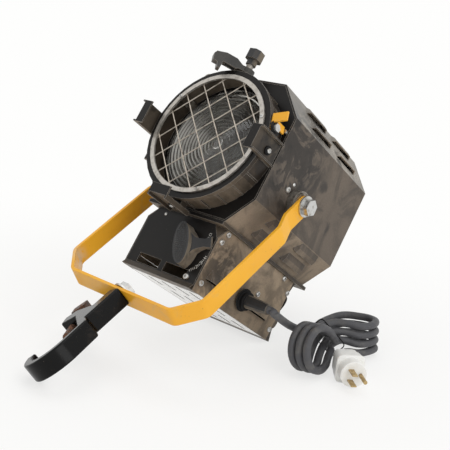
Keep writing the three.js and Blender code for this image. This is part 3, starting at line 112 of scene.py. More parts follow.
# Noise patterns: spots to a metre, detail, a step's levels and what it gives, roughness, distortion
PATTERNS = {
    "drift": (8, 3, (0.32, 0.62), (0.55, 1), 0.6, 0.8),
    "swept": (17, 5, (0.36, 0.56), (0.56, 1), 0.6, 1.6),
    "strokes": (26, 5, (0.38, 0.56), (0, 1), 0.6, 2.2),
    "grit": (520, 5, (0.25, 0.7), (0.8, 1), 0.7),
    "spared": (11, 1, (0.46, 0.56), (0, 1)),
    "paint_specks": (900, 1, (0.77, 0.8), (0, 0.4)),
    "yoke_shade": (9, 3, (0.3, 0.7), (0, 1)),
    "yoke_dust": (26, 5, (0.55, 0.68), (0, 0.34), 0.6, 1.2),
    "yoke_rub": (120, 4, (0.35, 0.5), (0, 1)),
    "yoke_specks": (420, 2, (0.7, 0.76), (0, 0.45)),
    "yoke_chips": (150, 3, (0.58, 0.64), (0, 1)),
    "yoke_gloss": (30, 4, (0.3, 0.7), (0.28, 0.48)),
    "casting_wear": (40, 5, (0.58, 0.78), (0, 0.3), 0.55, 0.8),
    "casting_specks": (700, 2, (0.74, 0.78), (0, 0.5)),
    "tarnish": (130, 5, (0.45, 0.72), (0, 1)),
    "scratches": (300, 4, (0.3, 0.7), (0, 1)),
    "rust": (220, 6, (0.42, 0.6), (0, 1), 0.7),
    "smudges": (70, 5, (0.45, 0.75), (0, 0.55)),
    "handling": (120, 4, (0.3, 0.7), (0, 1)),
    "grip_dust": (60, 5, (0.3, 0.55), (0.35, 1), 0.55, 1.0),
    "film": (90, 5, (0.4, 0.8), (0.02, 0.1)),
    "groove_dust_and_highlight": (45, 2, (0.3, 0.6), (0.55, 1)),
    "lens_haze": (24, 4, (0.3, 0.7), (0.02, 0.08)),
    "lens_film": (70, 4, (0.35, 0.75), (0.03, 0.12)),
    "hammered_gloss": (60, 4, (0.3, 0.7), (0.08, 0.22)),
}


def tone(name):
    """A named colour as linear light."""
    return (*Color([level / WHITE for level in TONES[name]]).from_srgb_to_scene_linear(), 1.0)


def put(node, inputs):
    """Sets or links a node's inputs, and gives its outputs."""
    for socket, value in inputs.items():
        if isinstance(value, bpy.types.NodeSocket):
            node.id_data.links.new(value, node.inputs[socket])
        else:
            node.inputs[socket].default_value = value
    return node.outputs


# A mix node's sockets for colours
MIX_A, MIX_B, MIX_RESULT = 6, 7, 2


class Look:
    """A node material on one Principled shader, in the row's own coordinates."""

    def __init__(self, name, color, roughness=0.5, metallic=0.0, specular=0.5):
        self.material = bpy.data.materials.new(name)
        self.material.use_nodes = True
        self.tree = self.material.node_tree
        self.shader = self.tree.nodes["Principled BSDF"]
        coordinates = self.node("ShaderNodeTexCoord").outputs
        self.place = coordinates["Object"]
        self.normal = coordinates["Normal"]
        self.set("Base Color", tone(color))
        self.set("Roughness", roughness)
        self.set("Metallic", metallic)
        self.set("Specular IOR Level", specular)

    def node(self, kind):
        return self.tree.nodes.new(kind)

    def set(self, socket, value):
        """Sets or links one of the shader's inputs."""
        put(self.shader, {socket: value})

    def noise(self, scale, detail=2, roughness=0.55, distortion=0.0):
        """Noise with about `scale` spots to a metre."""
        names = ("Vector", "Scale", "Detail", "Roughness", "Distortion")
        values = (self.place, scale, detail, roughness, distortion)
        return put(self.node("ShaderNodeTexNoise"), dict(zip(names, values)))["Fac"]

    def cells(self, scale):
        """Distance to the nearest of `scale` scattered points to a metre."""
        return put(self.node("ShaderNodeTexVoronoi"), {"Vector": self.place, "Scale": scale})["Distance"]

    def ramp(self, source, step, gives=(0, 1)):
        """A smooth step of a value, from one level to another."""
        smooth = self.node("ShaderNodeMapRange")
        smooth.interpolation_type = "SMOOTHSTEP"
        names = ("Value", "From Min", "From Max", "To Min", "To Max")
        return put(smooth, dict(zip(names, (source, *step, *gives))))["Result"]

    def pattern(self, name, gives=None):
        """One of the noise patterns, as a share or between two other levels."""
        scale, detail, step, own, *warp = PATTERNS[name]
        return self.ramp(self.noise(scale, detail, *warp), step, gives or own)

    def math(self, operation, a, b=0.0):
        step = self.node("ShaderNodeMath")
        step.operation = operation
        return put(step, {0: a, 1: b})["Value"]

    def times(self, first, *others):
        product = first
        for other in others:
            product = self.math("MULTIPLY", product, other)
        return product

    def vector(self, operation, a, b=(0, 0, 0), result="Vector"):
        step = self.node("ShaderNodeVectorMath")
        step.operation = operation
        return put(step, {0: a, 1: b})[result]

    def mix(self, share, a, b):
        """One colour turning into another by a share; a colour is a tone's name or a socket."""
        step = self.node("ShaderNodeMix")
        step.data_type = "RGBA"
        a, b = (tone(color) if isinstance(color, str) else color for color in (a, b))
        return put(step, {"Factor": share, MIX_A: a, MIX_B: b})[MIX_RESULT]

    def facing(self, direction):
        """1 on faces that look along a direction of the lamp's frame, 0 across it."""
        dot = self.vector("DOT_PRODUCT", self.normal, LAMP.to_3x3() @ direction, "Value")
        return self.math("MAXIMUM", dot, 0.0)

    def near(self, point, radius):
        """1 at a point of the lamp's frame, falling to 0 at a radius in millimetres."""
        away = self.vector("DISTANCE", self.place, LAMP @ (Vector(point) * MM), "Value")
        return self.ramp(away, (radius * MM, 0.0))

    def edges(self, radius, step=(0.02, 0.25)):
        """Near 1 along sharp edges, out to a radius in millimetres, and 0 on faces."""
        bevel = self.node("ShaderNodeBevel")
        bevel.samples = 4
        rounded = put(bevel, {"Radius": radius * MM})["Normal"]
        flat = self.node("ShaderNodeNewGeometry").outputs["Normal"]
        dot = self.vector("DOT_PRODUCT", rounded, flat, "Value")
        return self.ramp(self.math("SUBTRACT", 1.0, dot), step)

    def bump(self, height, strength, depth):
        """A bump of a depth in millimetres."""
        inputs = {"Height": height, "Strength": strength, "Distance": depth * MM}
        self.set("Normal", put(self.node("ShaderNodeBump"), inputs)["Normal"])


# Fingerprints in the dust, and places where the dust is thinner so the paint shows darker, as centre and
# radius
PRINTS = Sizes(cells=24, warp_scale=60, warp=0.35, step=(0.30, 0.44), gives=(0.34, 1))
THINNER_DUST_PLACES = [((112, -40, 45), 125), ((70, -36, -112), 56)]
FRONTAL = (0.8, 0.96)
SLOPING = (0.3, 0.7)


def finger_marks(look):
    """1 on full dust, less under fingerprints and under strokes near some places."""
    warp = look.times(look.noise(PRINTS.warp_scale), PRINTS.warp)
    prints = look.ramp(look.math("ADD", look.cells(PRINTS.cells), warp), PRINTS.step, PRINTS.gives)
    prints = look.math("MAXIMUM", prints, look.pattern("spared"))
    near_thinner_dust = look.math("MAXIMUM", *(look.near(place, radius) for place, radius in THINNER_DUST_PLACES))
    thinned_dust = look.times(near_thinner_dust, look.pattern("strokes"))
    return look.times(prints, look.ramp(thinned_dust, (0, 0.7), (1, 0.3)))


def painted(name, paint, dust, cover, front_cover, top_dust_and_painted_sheen=None):
    """Black enamel under dust, thinner under fingerprints and in some places; the lens side stays clean, up-
    and down-facing faces take a paler dust that is partly a painted sheen and painted light, and sharp edges
    are paler with wear and a painted highlight.
    """
    look = Look(name, paint, specular=0.2)
    coverage = look.ramp(look.facing(FRONT), FRONTAL, (cover, front_cover))
    layers = [look.pattern(layer) for layer in ("drift", "swept", "grit")]
    amount = look.times(coverage, *layers, finger_marks(look))
    # Up-facing faces take a paler dust: partly dust, partly a painted sheen
    if top_dust_and_painted_sheen:
        dust = look.mix(look.ramp(look.facing(UP), SLOPING), dust, top_dust_and_painted_sheen)
    # Down-facing faces turn paler: painted light from below, over the dust
    dust = look.mix(look.ramp(look.facing(DOWN), SLOPING, (0, 0.8)), dust, "underside_dust_and_painted_light")
    color = look.mix(amount, paint, dust)
    color = look.mix(look.pattern("paint_specks"), color, "paint_speck")
    # Paler sharp edges: partly edge wear, partly a painted highlight
    look.set("Base Color", look.mix(look.edges(0.9, (0.015, 0.16)), color, "paint_edge_wear_and_highlight"))
    look.set("Roughness", look.ramp(amount, (0, 1), (0.3, 0.7)))
    look.bump(look.noise(420), strength=0.12, depth=0.2)
    return look


YOKE_CORNER = ((-112, -90, -175), 26)


def enamel(name):
    """Bright stove enamel with a slight orange-peel skin, dusty patches and chips on its edges."""
    look = Look(name, "yoke_yellow", specular=0.4)
    color = look.mix(look.pattern("yoke_shade"), "yoke_yellow", "yoke_shade")
    color = look.mix(look.pattern("yoke_dust"), color, "yoke_dust")
    color = look.mix(look.times(look.pattern("yoke_rub"), look.near(*YOKE_CORNER)), color, "yoke_rubbed")
    color = look.mix(look.pattern("yoke_specks"), color, "yoke_speck")
    chips = look.times(look.edges(1.1), look.pattern("yoke_chips"))
    look.set("Base Color", look.mix(chips, color, "yoke_chip"))
    look.set("Roughness", look.pattern("yoke_gloss"))
    look.bump(look.noise(650), strength=0.1, depth=0.2)
    return look


def clamp_enamel(name):
    """Glossy black enamel with a little brown dust and worn corners."""
    look = Look(name, "casting_black", specular=0.16)
    worn = look.pattern("casting_wear")
    color = look.mix(worn, "casting_black", "casting_worn")
    color = look.mix(look.pattern("casting_specks"), color, "casting_speck")
    look.set("Base Color", look.mix(look.edges(1.4, (0.03, 0.3)), color, "casting_edge"))
    look.set("Roughness", look.ramp(worn, (0, 0.3), (0.22, 0.45)))
    look.bump(look.noise(260), strength=0.16, depth=0.3)
    return look


def plated(name, color, roughness=0.28):
    """Plated or bare metal with cloudy tarnish and fine scratches."""
    look = Look(name, color, metallic=1.0)
    look.set("Base Color", look.mix(look.pattern("tarnish"), color, f"{color}_tarnish"))
    look.set("Roughness", look.pattern("scratches", (roughness, roughness + 0.22)))
    look.bump(look.noise(900, detail=3), strength=0.12, depth=0.1)
    return look


def rusted(name):
    """Brown rusted iron, rubbed bright on its edges."""
    look = Look(name, "iron", metallic=0.3)
    patch = look.pattern("rust")
    color = look.mix(patch, "dark_rust", "rust")
    look.set("Base Color", look.mix(look.edges(0.9), color, "rust_edge"))
    look.set("Roughness", look.ramp(patch, (0, 1), (0.45, 0.9)))
    look.bump(look.noise(500, detail=5), strength=0.5, depth=0.3)
    return look


def moulded(name, color, roughness, grain, depth, specular=0.4):
    """Moulded plastic or rubber with a fine grain and a little dust."""
    look = Look(name, color, specular=specular)
    look.set("Base Color", look.mix(look.pattern("smudges"), color, f"{color}_dust"))
    look.set("Roughness", look.pattern("handling", (roughness - 0.05, roughness + 0.12)))
    look.bump(look.noise(grain, detail=3), strength=0.25, depth=depth)
    return look


def grip_plastic(name):
    """Dull black plastic, dusty wherever fingers don't reach."""
    look = Look(name, "grip", specular=0.3)
    settled = look.ramp(look.facing(FRONT), (0.35, 0.8), (0.85, 0.05))
    settled = look.times(settled, look.pattern("grip_dust"))
    color = look.mix(settled, "grip", "grip_dust")
    look.set("Base Color", look.mix(look.edges(0.8), color, "grip_edge"))
    look.set("Roughness", look.ramp(settled, (0, 1), (0.42, 0.8)))
    look.bump(look.noise(600), strength=0.15, depth=0.2)
    return look


def clear_glass(name):
    """Clear glass with a thin greasy film."""
    look = Look(name, "clear")
    look.set("Transmission Weight", 1.0)
    look.set("IOR", 1.5)
    look.set("Roughness", look.pattern("film"))
    return look


# The side of the lens where the grooves' dust is thickest and stands in for a painted highlight of the
# rings, as centre and radius
RING_DUST_AND_HIGHLIGHT_SIDE = ((-70, -72, -8), 95)


def lens_glass(name):
    """Pressed glass with fine dust in the grooves between its rings, thickest on one side, where the pale
    lines are partly a painted highlight.
    """
    look = Look(name, "glass")
    look.set("IOR", 1.5)
    centre = LAMP @ Vector((0, 0, LENS.height * MM))
    outward = look.vector("SUBTRACT", look.place, centre)
    across = look.vector("CROSS_PRODUCT", outward, LAMP.to_3x3() @ FRONT)
    radius = look.vector("LENGTH", across, result="Value")
    turn = look.times(radius, tau / (RING_WIDTH * MM))
    # Pale lines in the grooves: partly dust, partly a painted highlight of the rings, strongest on one side
    ring_lines_dust_and_highlight = look.ramp(look.math("COSINE", look.math("ADD", turn, GROOVE_TURN)), (0.55, 0.95))
    dust_and_highlight_side = look.ramp(look.near(*RING_DUST_AND_HIGHLIGHT_SIDE), (0, 0.8), (0.08, 0.9))
    ring_lines_dust_and_highlight = look.times(ring_lines_dust_and_highlight, dust_and_highlight_side, look.pattern("groove_dust_and_highlight"))
    veil = look.math("ADD", ring_lines_dust_and_highlight, look.pattern("lens_haze"))
    look.set("Transmission Weight", look.math("SUBTRACT", 1.0, veil))
    look.set("Roughness", look.pattern("lens_film"))
    return look


def polished(name):
    """Hammered bright aluminium."""
    look = Look(name, "aluminium", metallic=1.0)
    look.set("Roughness", look.pattern("hammered_gloss"))
    look.bump(look.cells(330), strength=0.8, depth=1.0)
    return look


# One finish for each of the record's slots: what makes it, and its settings
FINISHES = {
    "shell_paint": (painted, "shell_black", "shell_dust", 0.95, 0.04, "roof_dust_and_painted_sheen"),
    "frame_paint": (painted, "black", "frame_dust", 0.62, 0.04),
    "box_paint": (painted, "black", "box_dust", 1.0, 0.03),
    "yoke_paint": (enamel,),
    "clamp_paint": (clamp_enamel,),
    "zinc": (plated, "zinc"),
    "steel": (plated, "steel", 0.4),
    "rusty": (rusted,),
    "black_plastic": (grip_plastic,),
    "glass": (clear_glass,),
    "mirror": (polished,),
    "ceramic": (moulded, "ceramic", 0.55, 300, 0.1),
    "cord": (moulded, "cord", 0.5, 900, 0.1, 0.3),
    "plug": (moulded, "plug", 0.35, 500, 0.05),
    "brass": (plated, "brass", 0.3),
}
looks = {slot: finish(slot, *settings) for slot, (finish, *settings) in FINISHES.items()}

# Finishes of single pieces
WIRE = plated("wire_satin", "wire", 0.45)
PRINT = moulded("dial_white", "print", 0.5, 600, 0.02)
LENS_GLASS = lens_glass("lens_glass")
RUBBER = moulded("rubber", "rubber", 0.7, 500, 0.1, 0.2)

slot_of = {part["node"]: part["material_slot"] for part in frame["record"]["subparts"]}

# Carried-over pieces whose finish differs from the rest of their slot
OWN_LOOKS = {
    "guard_ring": plated("ring_satin", "ring", 0.44),
    "door_barrel": painted("barrel_paint", "black", "barrel_dust", 0.5, 0.04),
    "top_claw": painted("claw_paint", "claw_grey", "claw_dust", 0.45, 0.3),
    "bottom_plate": plated("plate_bright", "plate", 0.08),
}

# Edge rounding of the carried-over pieces, in millimetres
ROUNDED = {
    0.4: ("base_rail", "hinge_bracket", "latch_bolt"),
    0.5: ("door_latch", "channel_right", "channel_left", "channel_bottom", "cable_gland"),
    0.6: ("clamp_bolt", "pivot_bolt_right", "pivot_bolt_left"),
    0.8: ("clamp_screw",),
    1.0: ("top_claw", "thumb_knob"),
    1.2: ("front_knob", "rear_knob"),
}
FLAT_ANGLE = 0.6
EDGE_ANGLE = 34


def round_edges(piece, width, angle=EDGE_ANGLE, segments=2):
    """Rounds edges sharper than an angle in degrees, to a width in millimetres."""
    bevel = piece.modifiers.new("edge", "BEVEL")
    bevel.width = width * MM
    bevel.segments = segments
    bevel.limit_method = "ANGLE"
    bevel.angle_limit = radians(angle)
    return bevel


def dress(node):
    """Gives a carried-over piece its finish and smooth curves."""
    look = OWN_LOOKS.get(node, looks[slot_of[node]])
    mesh = nodes[node].data
    mesh.materials.clear()
    mesh.materials.append(look.material)
    mesh.shade_smooth()
    mesh.set_sharp_from_angle(angle=SHARP)


for node in nodes:
    dress(node)
for width, rounded_nodes in ROUNDED.items():
    for node in rounded_nodes:
        flat = nodes[node].modifiers.new("flat", "DECIMATE")
        flat.decimate_type = "DISSOLVE"
        flat.angle_limit = radians(FLAT_ANGLE)
        round_edges(nodes[node], width)


# Small parts, drawn in millimetres in the lamp's own frame


def polar(angle, side=RIGHT, across=UP):
    """The direction at an angle from one axis towards another."""
    return side * cos(angle) + across * sin(angle)


def quarter_turn(direction):
    """A direction of the lens's plane, turned from the right towards the roof."""
    return Vector((-direction.z, 0, direction.x))


class Shape:
    """A mesh gathered from turned, swept and pressed lumps."""

    def __init__(self):
        self.points = []
        self.faces = []

    def grid(self, rows):
        """Skins rows of points, each closed on itself, and caps both ends."""
        start = len(self.points)
        width = len(rows[0])
        last = start + (len(rows) - 1) * width
        for row in rows:
            self.points += row
        for first in range(start, last, width):
            for i in range(width):
                j = (i + 1) % width
                self.faces.append((first + i, first + j, first + width + j, first + width + i))
        self.faces.append(tuple(range(start + width - 1, start - 1, -1)))
        self.faces.append(tuple(range(last, last + width)))
        return self

    def lathe(self, profile, at, axis, steps=24, six=()):
        """Turns (radius, height) pairs about an axis; rows named in `six` are six-sided."""
        side = axis.orthogonal().normalized()
        across = axis.cross(side)
        sixth = pi / 6
        rows = []
        for index, (radius, height) in enumerate(profile):
            row = []
            for i in range(steps):
                angle = tau * i / steps
                reach = radius
                if index in six:
                    reach *= cos(sixth) / cos(angle % (sixth * 2) - sixth)
                row.append(at + axis * height + polar(angle, side, across) * reach)
            rows.append(row)
        return self.grid(rows)

    def tube(self, path, radius, sides=10):
        """A round wire along a path."""
        turns = [tau * k / sides for k in range(sides)]
        rows = []
        side = None
        for i, point in enumerate(path):
            ahead = (path[min(i + 1, len(path) - 1)] - path[max(i - 1, 0)]).normalized()
            side = ahead.orthogonal() if side is None else side - ahead * side.dot(ahead)
            side.normalize()
            across = ahead.cross(side)
            rows.append([point + polar(turn, side, across) * radius for turn in turns])
        return self.grid(rows)

    def prism(self, outline, normal, depth):
        """A flat outline pushed along a direction."""
        return self.grid([outline, [point + normal * depth for point in outline]])

    def mesh(self, name):
        mesh = bpy.data.meshes.new(name)
        mesh.from_pydata(self.points, [], self.faces)
        work = bmesh.new()
        work.from_mesh(mesh)
        bmesh.ops.recalc_face_normals(work, faces=work.faces)
        work.to_mesh(mesh)
        work.free()
        return mesh


def add_object(name, data):
    thing = bpy.data.objects.new(name, data)
    bpy.context.collection.objects.link(thing)
    return thing


def new_piece(name, shape, slot, body="lamp_head", look=None, place=LAMP):
    """A shape as a piece of one body, set into the row frame, with its finish."""
    mesh = shape.mesh(name)
    mesh.transform(place @ Matrix.Scale(MM, 4))
    mesh.shade_smooth()
    mesh.set_sharp_from_angle(angle=SHARP)
    mesh.materials.append((look or looks[slot]).material)
    piece = add_object(name, mesh)
    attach(piece, body)
    return piece


# How far outside a place the line of sight starts, and how deep heads sink in
SIGHT = 60
SINK = 0.4


def seat(point, away, *skins):
    """Where a line along `away` through a point last leaves some CAD nodes, in the lamp's frame."""
    start = LAMP @ ((Vector(point) + away * SIGHT) * MM)
    hits = [nodes[skin].ray_cast(start, -(LAMP.to_3x3() @ away)) for skin in skins]
    places = [(LAMP.inverted() @ place) / MM for hit, place, _, _ in hits if hit]
    return max(places, key=away.dot)


# Turned heads, from the middle out, as shares of their radius and height
HEADS = {
    "screw": {"shares": [(0.4, 0.35), (0.46, 0.97), (0.66, 1), (0.88, 0.8), (1, 0.4)], "six": (0, 1)},
    "washer": {"shares": [(0.3, 1), (0.86, 1), (1, 0.7)]},
    "rivet": {"shares": [(r, sqrt(1 - r * r)) for r in (0.15, 0.5, 0.8, 0.97)], "steps": 16},
}


def add_head(shape, kind, at, axis, radius, height):
    """A turned head, sunk a little into its seat."""
    head = dict(HEADS[kind])
    profile = [(radius * wide, height * high) for wide, high in head.pop("shares")]
    return shape.lathe(profile + [(radius, -SINK)], at, axis, **head)


# Screws and rivets as kind, place, radius and height; those of the sides are given for the right
SIDE_SKINS = ("side_panel_right", "side_panel_left", "front_panel", "rear_cover")
SIDE_PLACES = [(-54, -86), (-54, -139), (105, -138), (106, -86), (51, -110), (-49, -74), (86, -73)]
SIDE_HEADS = [("screw", (60, y, z), 3.7, 2.2) for y, z in SIDE_PLACES]
PIVOT_HEADS = [("screw", (88, -23, 7), 3.8, 2.2), ("rivet", (88, -16, 17), 2.3, 1.15)]
FRONT_SCREW = ("screw", (43.4, -62, -139.6), 4.0, 2.6)
FRONT_RIVET = ("rivet", (-33.4, -62, -76.3), 2.2, 1.1)


def add_heads(name, heads, away, *skins, body="lamp_head"):
    """One piece of zinc heads that sit on CAD nodes."""
    shape = Shape()
    for kind, place, radius, height in heads:
        add_head(shape, kind, seat(place, away, *skins), away, radius, height)
    new_piece(name, shape, "zinc", body)


def add_side_heads(name, heads, *skins):
    """The same heads on the lamp's right and, mirrored, on its left."""
    for hand, side in (("right", RIGHT), ("left", LEFT)):
        mirrored = [(kind, (side.x * x, y, z), *size) for kind, (x, y, z), *size in heads]
        add_heads(name.format(hand), mirrored, side, *skins)


def round_lens(degrees, reach, y):
    """A place round the lens's axis, with the directions outward and along the rim there."""
    out = polar(radians(degrees))
    return Vector((0, y, LENS.height)) + out * reach, out, quarter_turn(out)


RING = Sizes(radius=77.2, y=-100, screws=(25.6, 149.5, 294.2), screw=(2.3, 1.8))


def add_fasteners():
    """The zinc screws and rivets of the box, the pivot plates and the guard ring."""
    add_side_heads("side_panel_{}_screws", SIDE_HEADS, *SIDE_SKINS)
    add_heads("front_panel_screw", [FRONT_SCREW], FRONT, "front_panel")
    add_heads("front_panel_rivet", [FRONT_RIVET], FRONT, "front_panel")
    add_side_heads("pivot_plate_screws_{}", PIVOT_HEADS, "housing_shell")
    heads = [("screw", round_lens(degrees, RING.radius, RING.y)[0], *RING.screw) for degrees in RING.screws]
    add_heads("ring_screws", heads, FRONT, "guard_ring", body="lens_door")


# The dial's print: figures at angles about the focus shaft, a tick on each side, and frames (x, z, size)
FOCUS = Vector((27, 0, -107))
DIAL = Sizes(radius=29, figure=1.9, line=0.45, beside=5, tick=2.2, tick_line=0.6)
DIAL_MARKS = {"1": -52, "2": -38, "3": -24, "4": -10}
DIAL_FRAMES = [(28, -128, 3.8), (47, -83.5, 3.0), (47, -88.5, 3.0)]
DIAL_PLATE = (-10, -62, -90)
PRINT_LIFT = 0.02
PRINT_DEPTH = 0.15

# Strokes of the figures on a field one wide and two high
FIGURES = {
    "1": [((0.5, 0), (0.5, 2)), ((0.5, 2), (0.15, 1.6))],
    "2": [((0, 0), (1, 0)), ((0, 0), (1, 1.1)), ((1, 1.1), (1, 2)), ((1, 2), (0, 2))],
    "3": [((0, 0), (1, 0)), ((1, 0), (1, 2)), ((0, 2), (1, 2)), ((0.3, 1), (1, 1))],
    "4": [((0.8, 0), (0.8, 2)), ((0.8, 2), (0, 0.7)), ((0, 0.7), (1.1, 0.7))],
    "frame": [((0, 0.5), (1, 0.5)), ((1, 0.5), (1, 1.5)), ((1, 1.5), (0, 1.5)), ((0, 1.5), (0, 0.5))],
}


def stroke(shape, a, b, width):
    """A printed line between two points of a face that looks to the front."""
    along = (b - a).normalized()
    side = quarter_turn(along) * width / 2
    a = a - along * width / 2
    b = b + along * width / 2
    shape.prism([a - side, b - side, b + side, a + side], BACK, PRINT_DEPTH)


def add_figure(shape, figure, at, size, turn=0.0):
    """One of the figures, turned by an angle about the middle of its field."""
    along = polar(turn)
    up = quarter_turn(along)
    for ends in FIGURES[figure]:
        a, b = (at + (along * (x - 0.5) + up * (z - 1)) * size for x, z in ends)
        stroke(shape, a, b, DIAL.line)


def add_dial():
    """Plain numbers round the knob with their ticks, and three small frames."""
    face = seat(DIAL_PLATE, FRONT, "front_panel").y - PRINT_LIFT
    centre = FOCUS + BACK * face
    half_tick = DIAL.tick / 2
    shape = Shape()
    for figure, degrees in DIAL_MARKS.items():
        angle = radians(degrees)
        add_figure(shape, figure, centre + polar(angle) * DIAL.radius, DIAL.figure, angle + RIGHT_ANGLE)
        for beside in (-DIAL.beside, DIAL.beside):
            out = polar(radians(degrees + beside))
            middle = centre + out * DIAL.radius
            stroke(shape, middle - out * half_tick, middle + out * half_tick, DIAL.tick_line)
    for x, z, size in DIAL_FRAMES:
        add_figure(shape, "frame", Vector((x, face, z)), size)
    new_piece("dial_marks", shape, "plug", look=PRINT)


# The knobs' ribbed faces, and the flared web (reach, half width, height) behind the front one
KNOB = Sizes(half_width=9.4, half_length=25.2, dome=1.8, fullness=0.8, rib=0.35, pitch=2.6)
KNOB_GRID = Sizes(rings=14, steps=96, covers=0.97, plain=1, skirt=1.0)
KNOB_LEAN = radians(26)
KNOB_FRONT = -80.7
KNOB_BACK = 140.3
WEB = [(4, 23, 14), (9, 17, 13), (13, 10, 10), (18, 7.5, 7.5), (25, 6, 5.5), (33, 8.5, 4)]
WEB_FOOT = -62.7
WEB_LIFT = 0.6
WEB_TAPER = 0.82


def add_knob_face(name, y, facing, lean):
    """The domed, ribbed face of a focus knob."""
    along = polar(lean)
    up = quarter_turn(along)
    centre = FOCUS + BACK * y
    rows = []
    for ring in range(KNOB_GRID.rings + 1):
        share = 1 - ring / KNOB_GRID.rings * KNOB_GRID.covers
        row = []
        for i in range(KNOB_GRID.steps):
            angle = tau * i / KNOB_GRID.steps
            x = KNOB.half_width * share * cos(angle)
            z = KNOB.half_length * share * sin(angle)
            rise = KNOB.dome * (1 - share ** 2) ** KNOB.fullness
            if ring > KNOB_GRID.plain:
                rise += KNOB.rib * cos(tau * z / KNOB.pitch)
            row.append(centre + along * x + up * z + facing * rise)
        rows.append(row)
    rows.insert(0, [point - facing * KNOB_GRID.skirt for point in rows[0]])
    new_piece(name, Shape().grid(rows), "black_plastic", "focus_drive")


def add_knob_web():
    """The front knob's flared side that narrows to the forked pointer."""
    along = polar(KNOB_LEAN)
    up = quarter_turn(along)
    foot = FOCUS + BACK * WEB_FOOT + FRONT * WEB_LIFT
    rows = []
    for reach, half, height in WEB:
        at = foot + along * reach
        crest = at + FRONT * (height - WEB_LIFT)
        top = up * half * WEB_TAPER
        rows.append([at - up * half, at + up * half, crest + top, crest - top])
    new_piece("knob_web", Shape().grid(rows), "black_plastic", "focus_drive")


GLASS = Sizes(crown=3.0, crown_steps=6, chamfer=0.4, eye=0.05, ledge=0.3)
RELIEF = Sizes(inner=1.4, outer=1.2, slack=0.62)


def add_lens():
    """The pressed glass lens: a crown and thin rings on its front, a flat back."""
    back, radius, edge = LENS.back, LENS.radius, LENS.edge
    eye, chamfer = GLASS.eye, GLASS.chamfer
    face = back + LENS.rim
    profile = [(eye, back), (radius - chamfer, back), (radius, back + chamfer), (radius, face), (edge, face)]
    for i in range(LENS.rings):
        outer = edge - RING_WIDTH * i
        inner = outer - RING_WIDTH
        drop = RELIEF.inner + RELIEF.outer * outer / edge
        profile.append((inner + RING_WIDTH / 2, face + drop * RELIEF.slack))
        profile.append((inner + GLASS.ledge, face + drop))
        profile.append((inner, face))
    crown = edge - RING_WIDTH * LENS.rings
    for i in range(1, GLASS.crown_steps + 1):
        angle = i / GLASS.crown_steps * RIGHT_ANGLE
        profile.append((max(crown * cos(angle), eye), face + GLASS.crown * sin(angle)))
    shape = Shape().lathe(profile, UP * LENS.height, FRONT, steps=96)
    piece = new_piece("lens_glass", shape, "glass", "lens_door", LENS_GLASS)
    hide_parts("fresnel_lens")


GUARD = Sizes(spacing=25, y=-98.15, wire=0.75, apart=0.35, rows=6, knots=(-1, -0.5, 0, 0.5, 1))


def add_wires():
    """Crossed wires with their ends tucked behind the guard ring."""
    shape = Shape()
    centre = Vector((0, GUARD.y, LENS.height))
    for slope in (1, -1):
        along = Vector((1, 0, slope)).normalized()
        side = Vector((-slope, 0, 1)).normalized()
        for i in range(GUARD.rows):
            offset = (i + 0.5 - GUARD.rows / 2) * GUARD.spacing
            half = sqrt(RING.radius ** 2 - offset ** 2)
            middle = centre + side * offset + BACK * GUARD.apart * slope
            shape.tube([middle + along * half * share for share in GUARD.knots], GUARD.wire)
    piece = new_piece("guard_wires", shape, "zinc", "lens_door", WIRE)
    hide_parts("wire_guard")


# The yoke's own frame, and its bends on one side (x, z, radius) from the pivot to the middle
YOKE_TURN = radians(-27.2)
SWING = LAMP @ Matrix.Rotation(YOKE_TURN, 4, "X")
YOKE_BENDS = [(104.5, 0, 0), (104.5, -32, 14), (113, -54, 14), (113, -190, 12), (85, -218, 12)]
YOKE = Sizes(thickness=4, half_width=12, bend_steps=6, end_steps=8, end_share=0.97, edge=0.6)
YOKE_INSIDE = Vector((0, -110))


def rounded_path(corners, steps):
    """Points of an open path whose inner corners (x, z, radius) are turned into arcs."""
    points = []
    for (ax, az, _), (bx, bz, radius), (cx, cz, _) in zip(corners, corners[1:], corners[2:]):
        a, b, c = Vector((ax, az)), Vector((bx, bz)), Vector((cx, cz))
        before, after = (b - a).normalized(), (c - b).normalized()
        turn = atan2(before.cross(after), before.dot(after))
        start = b - before * radius * tan(abs(turn) / 2)
        side = Vector((-before.y, before.x)) * copysign(1, turn)
        centre = start + side * radius
        for i in range(steps + 1):
            arm = start - centre
            arm.rotate(Matrix.Rotation(turn * i / steps, 2))
            points.append(centre + arm)
    return points


def yoke_line():
    """The bar's middle line as points (x, z), each with its half width."""
    mirrored = [(-x, z, radius) for x, z, radius in reversed(YOKE_BENDS)]
    half, steps = YOKE.half_width, YOKE.end_steps
    eye = []
    for i in range(steps + 1):
        angle = RIGHT_ANGLE * (1 - i / steps) * YOKE.end_share
        eye.append((half * sin(angle), half * cos(angle)))
    span = YOKE_BENDS[0][0]
    line = [(Vector((span, rise)), width) for rise, width in eye]
    line += [(point, half) for point in rounded_path(YOKE_BENDS + mirrored, YOKE.bend_steps)]
    line += [(Vector((-span, rise)), width) for rise, width in reversed(eye)]
    return line


def add_yoke_bar():
    """The bent flat bar with its rounded eyes."""
    line = yoke_line()
    rows = []
    for i, (point, width) in enumerate(line):
        ahead = line[min(i + 1, len(line) - 1)][0] - line[max(i - 1, 0)][0]
        inward = Vector((ahead.y, -ahead.x)).normalized() * YOKE.thickness
        if inward.dot(YOKE_INSIDE - point) < 0:
            inward = -inward
        inner = point + inward
        corners = [(point, -width), (point, width), (inner, width), (inner, -width)]
        rows.append([Vector((p.x, y, p.y)) for p, y in corners])
    piece = new_piece("yoke_bar", Shape().grid(rows), "yoke_paint", "yoke", place=SWING)
    round_edges(piece, YOKE.edge, angle=50)
    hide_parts("yoke_strap")


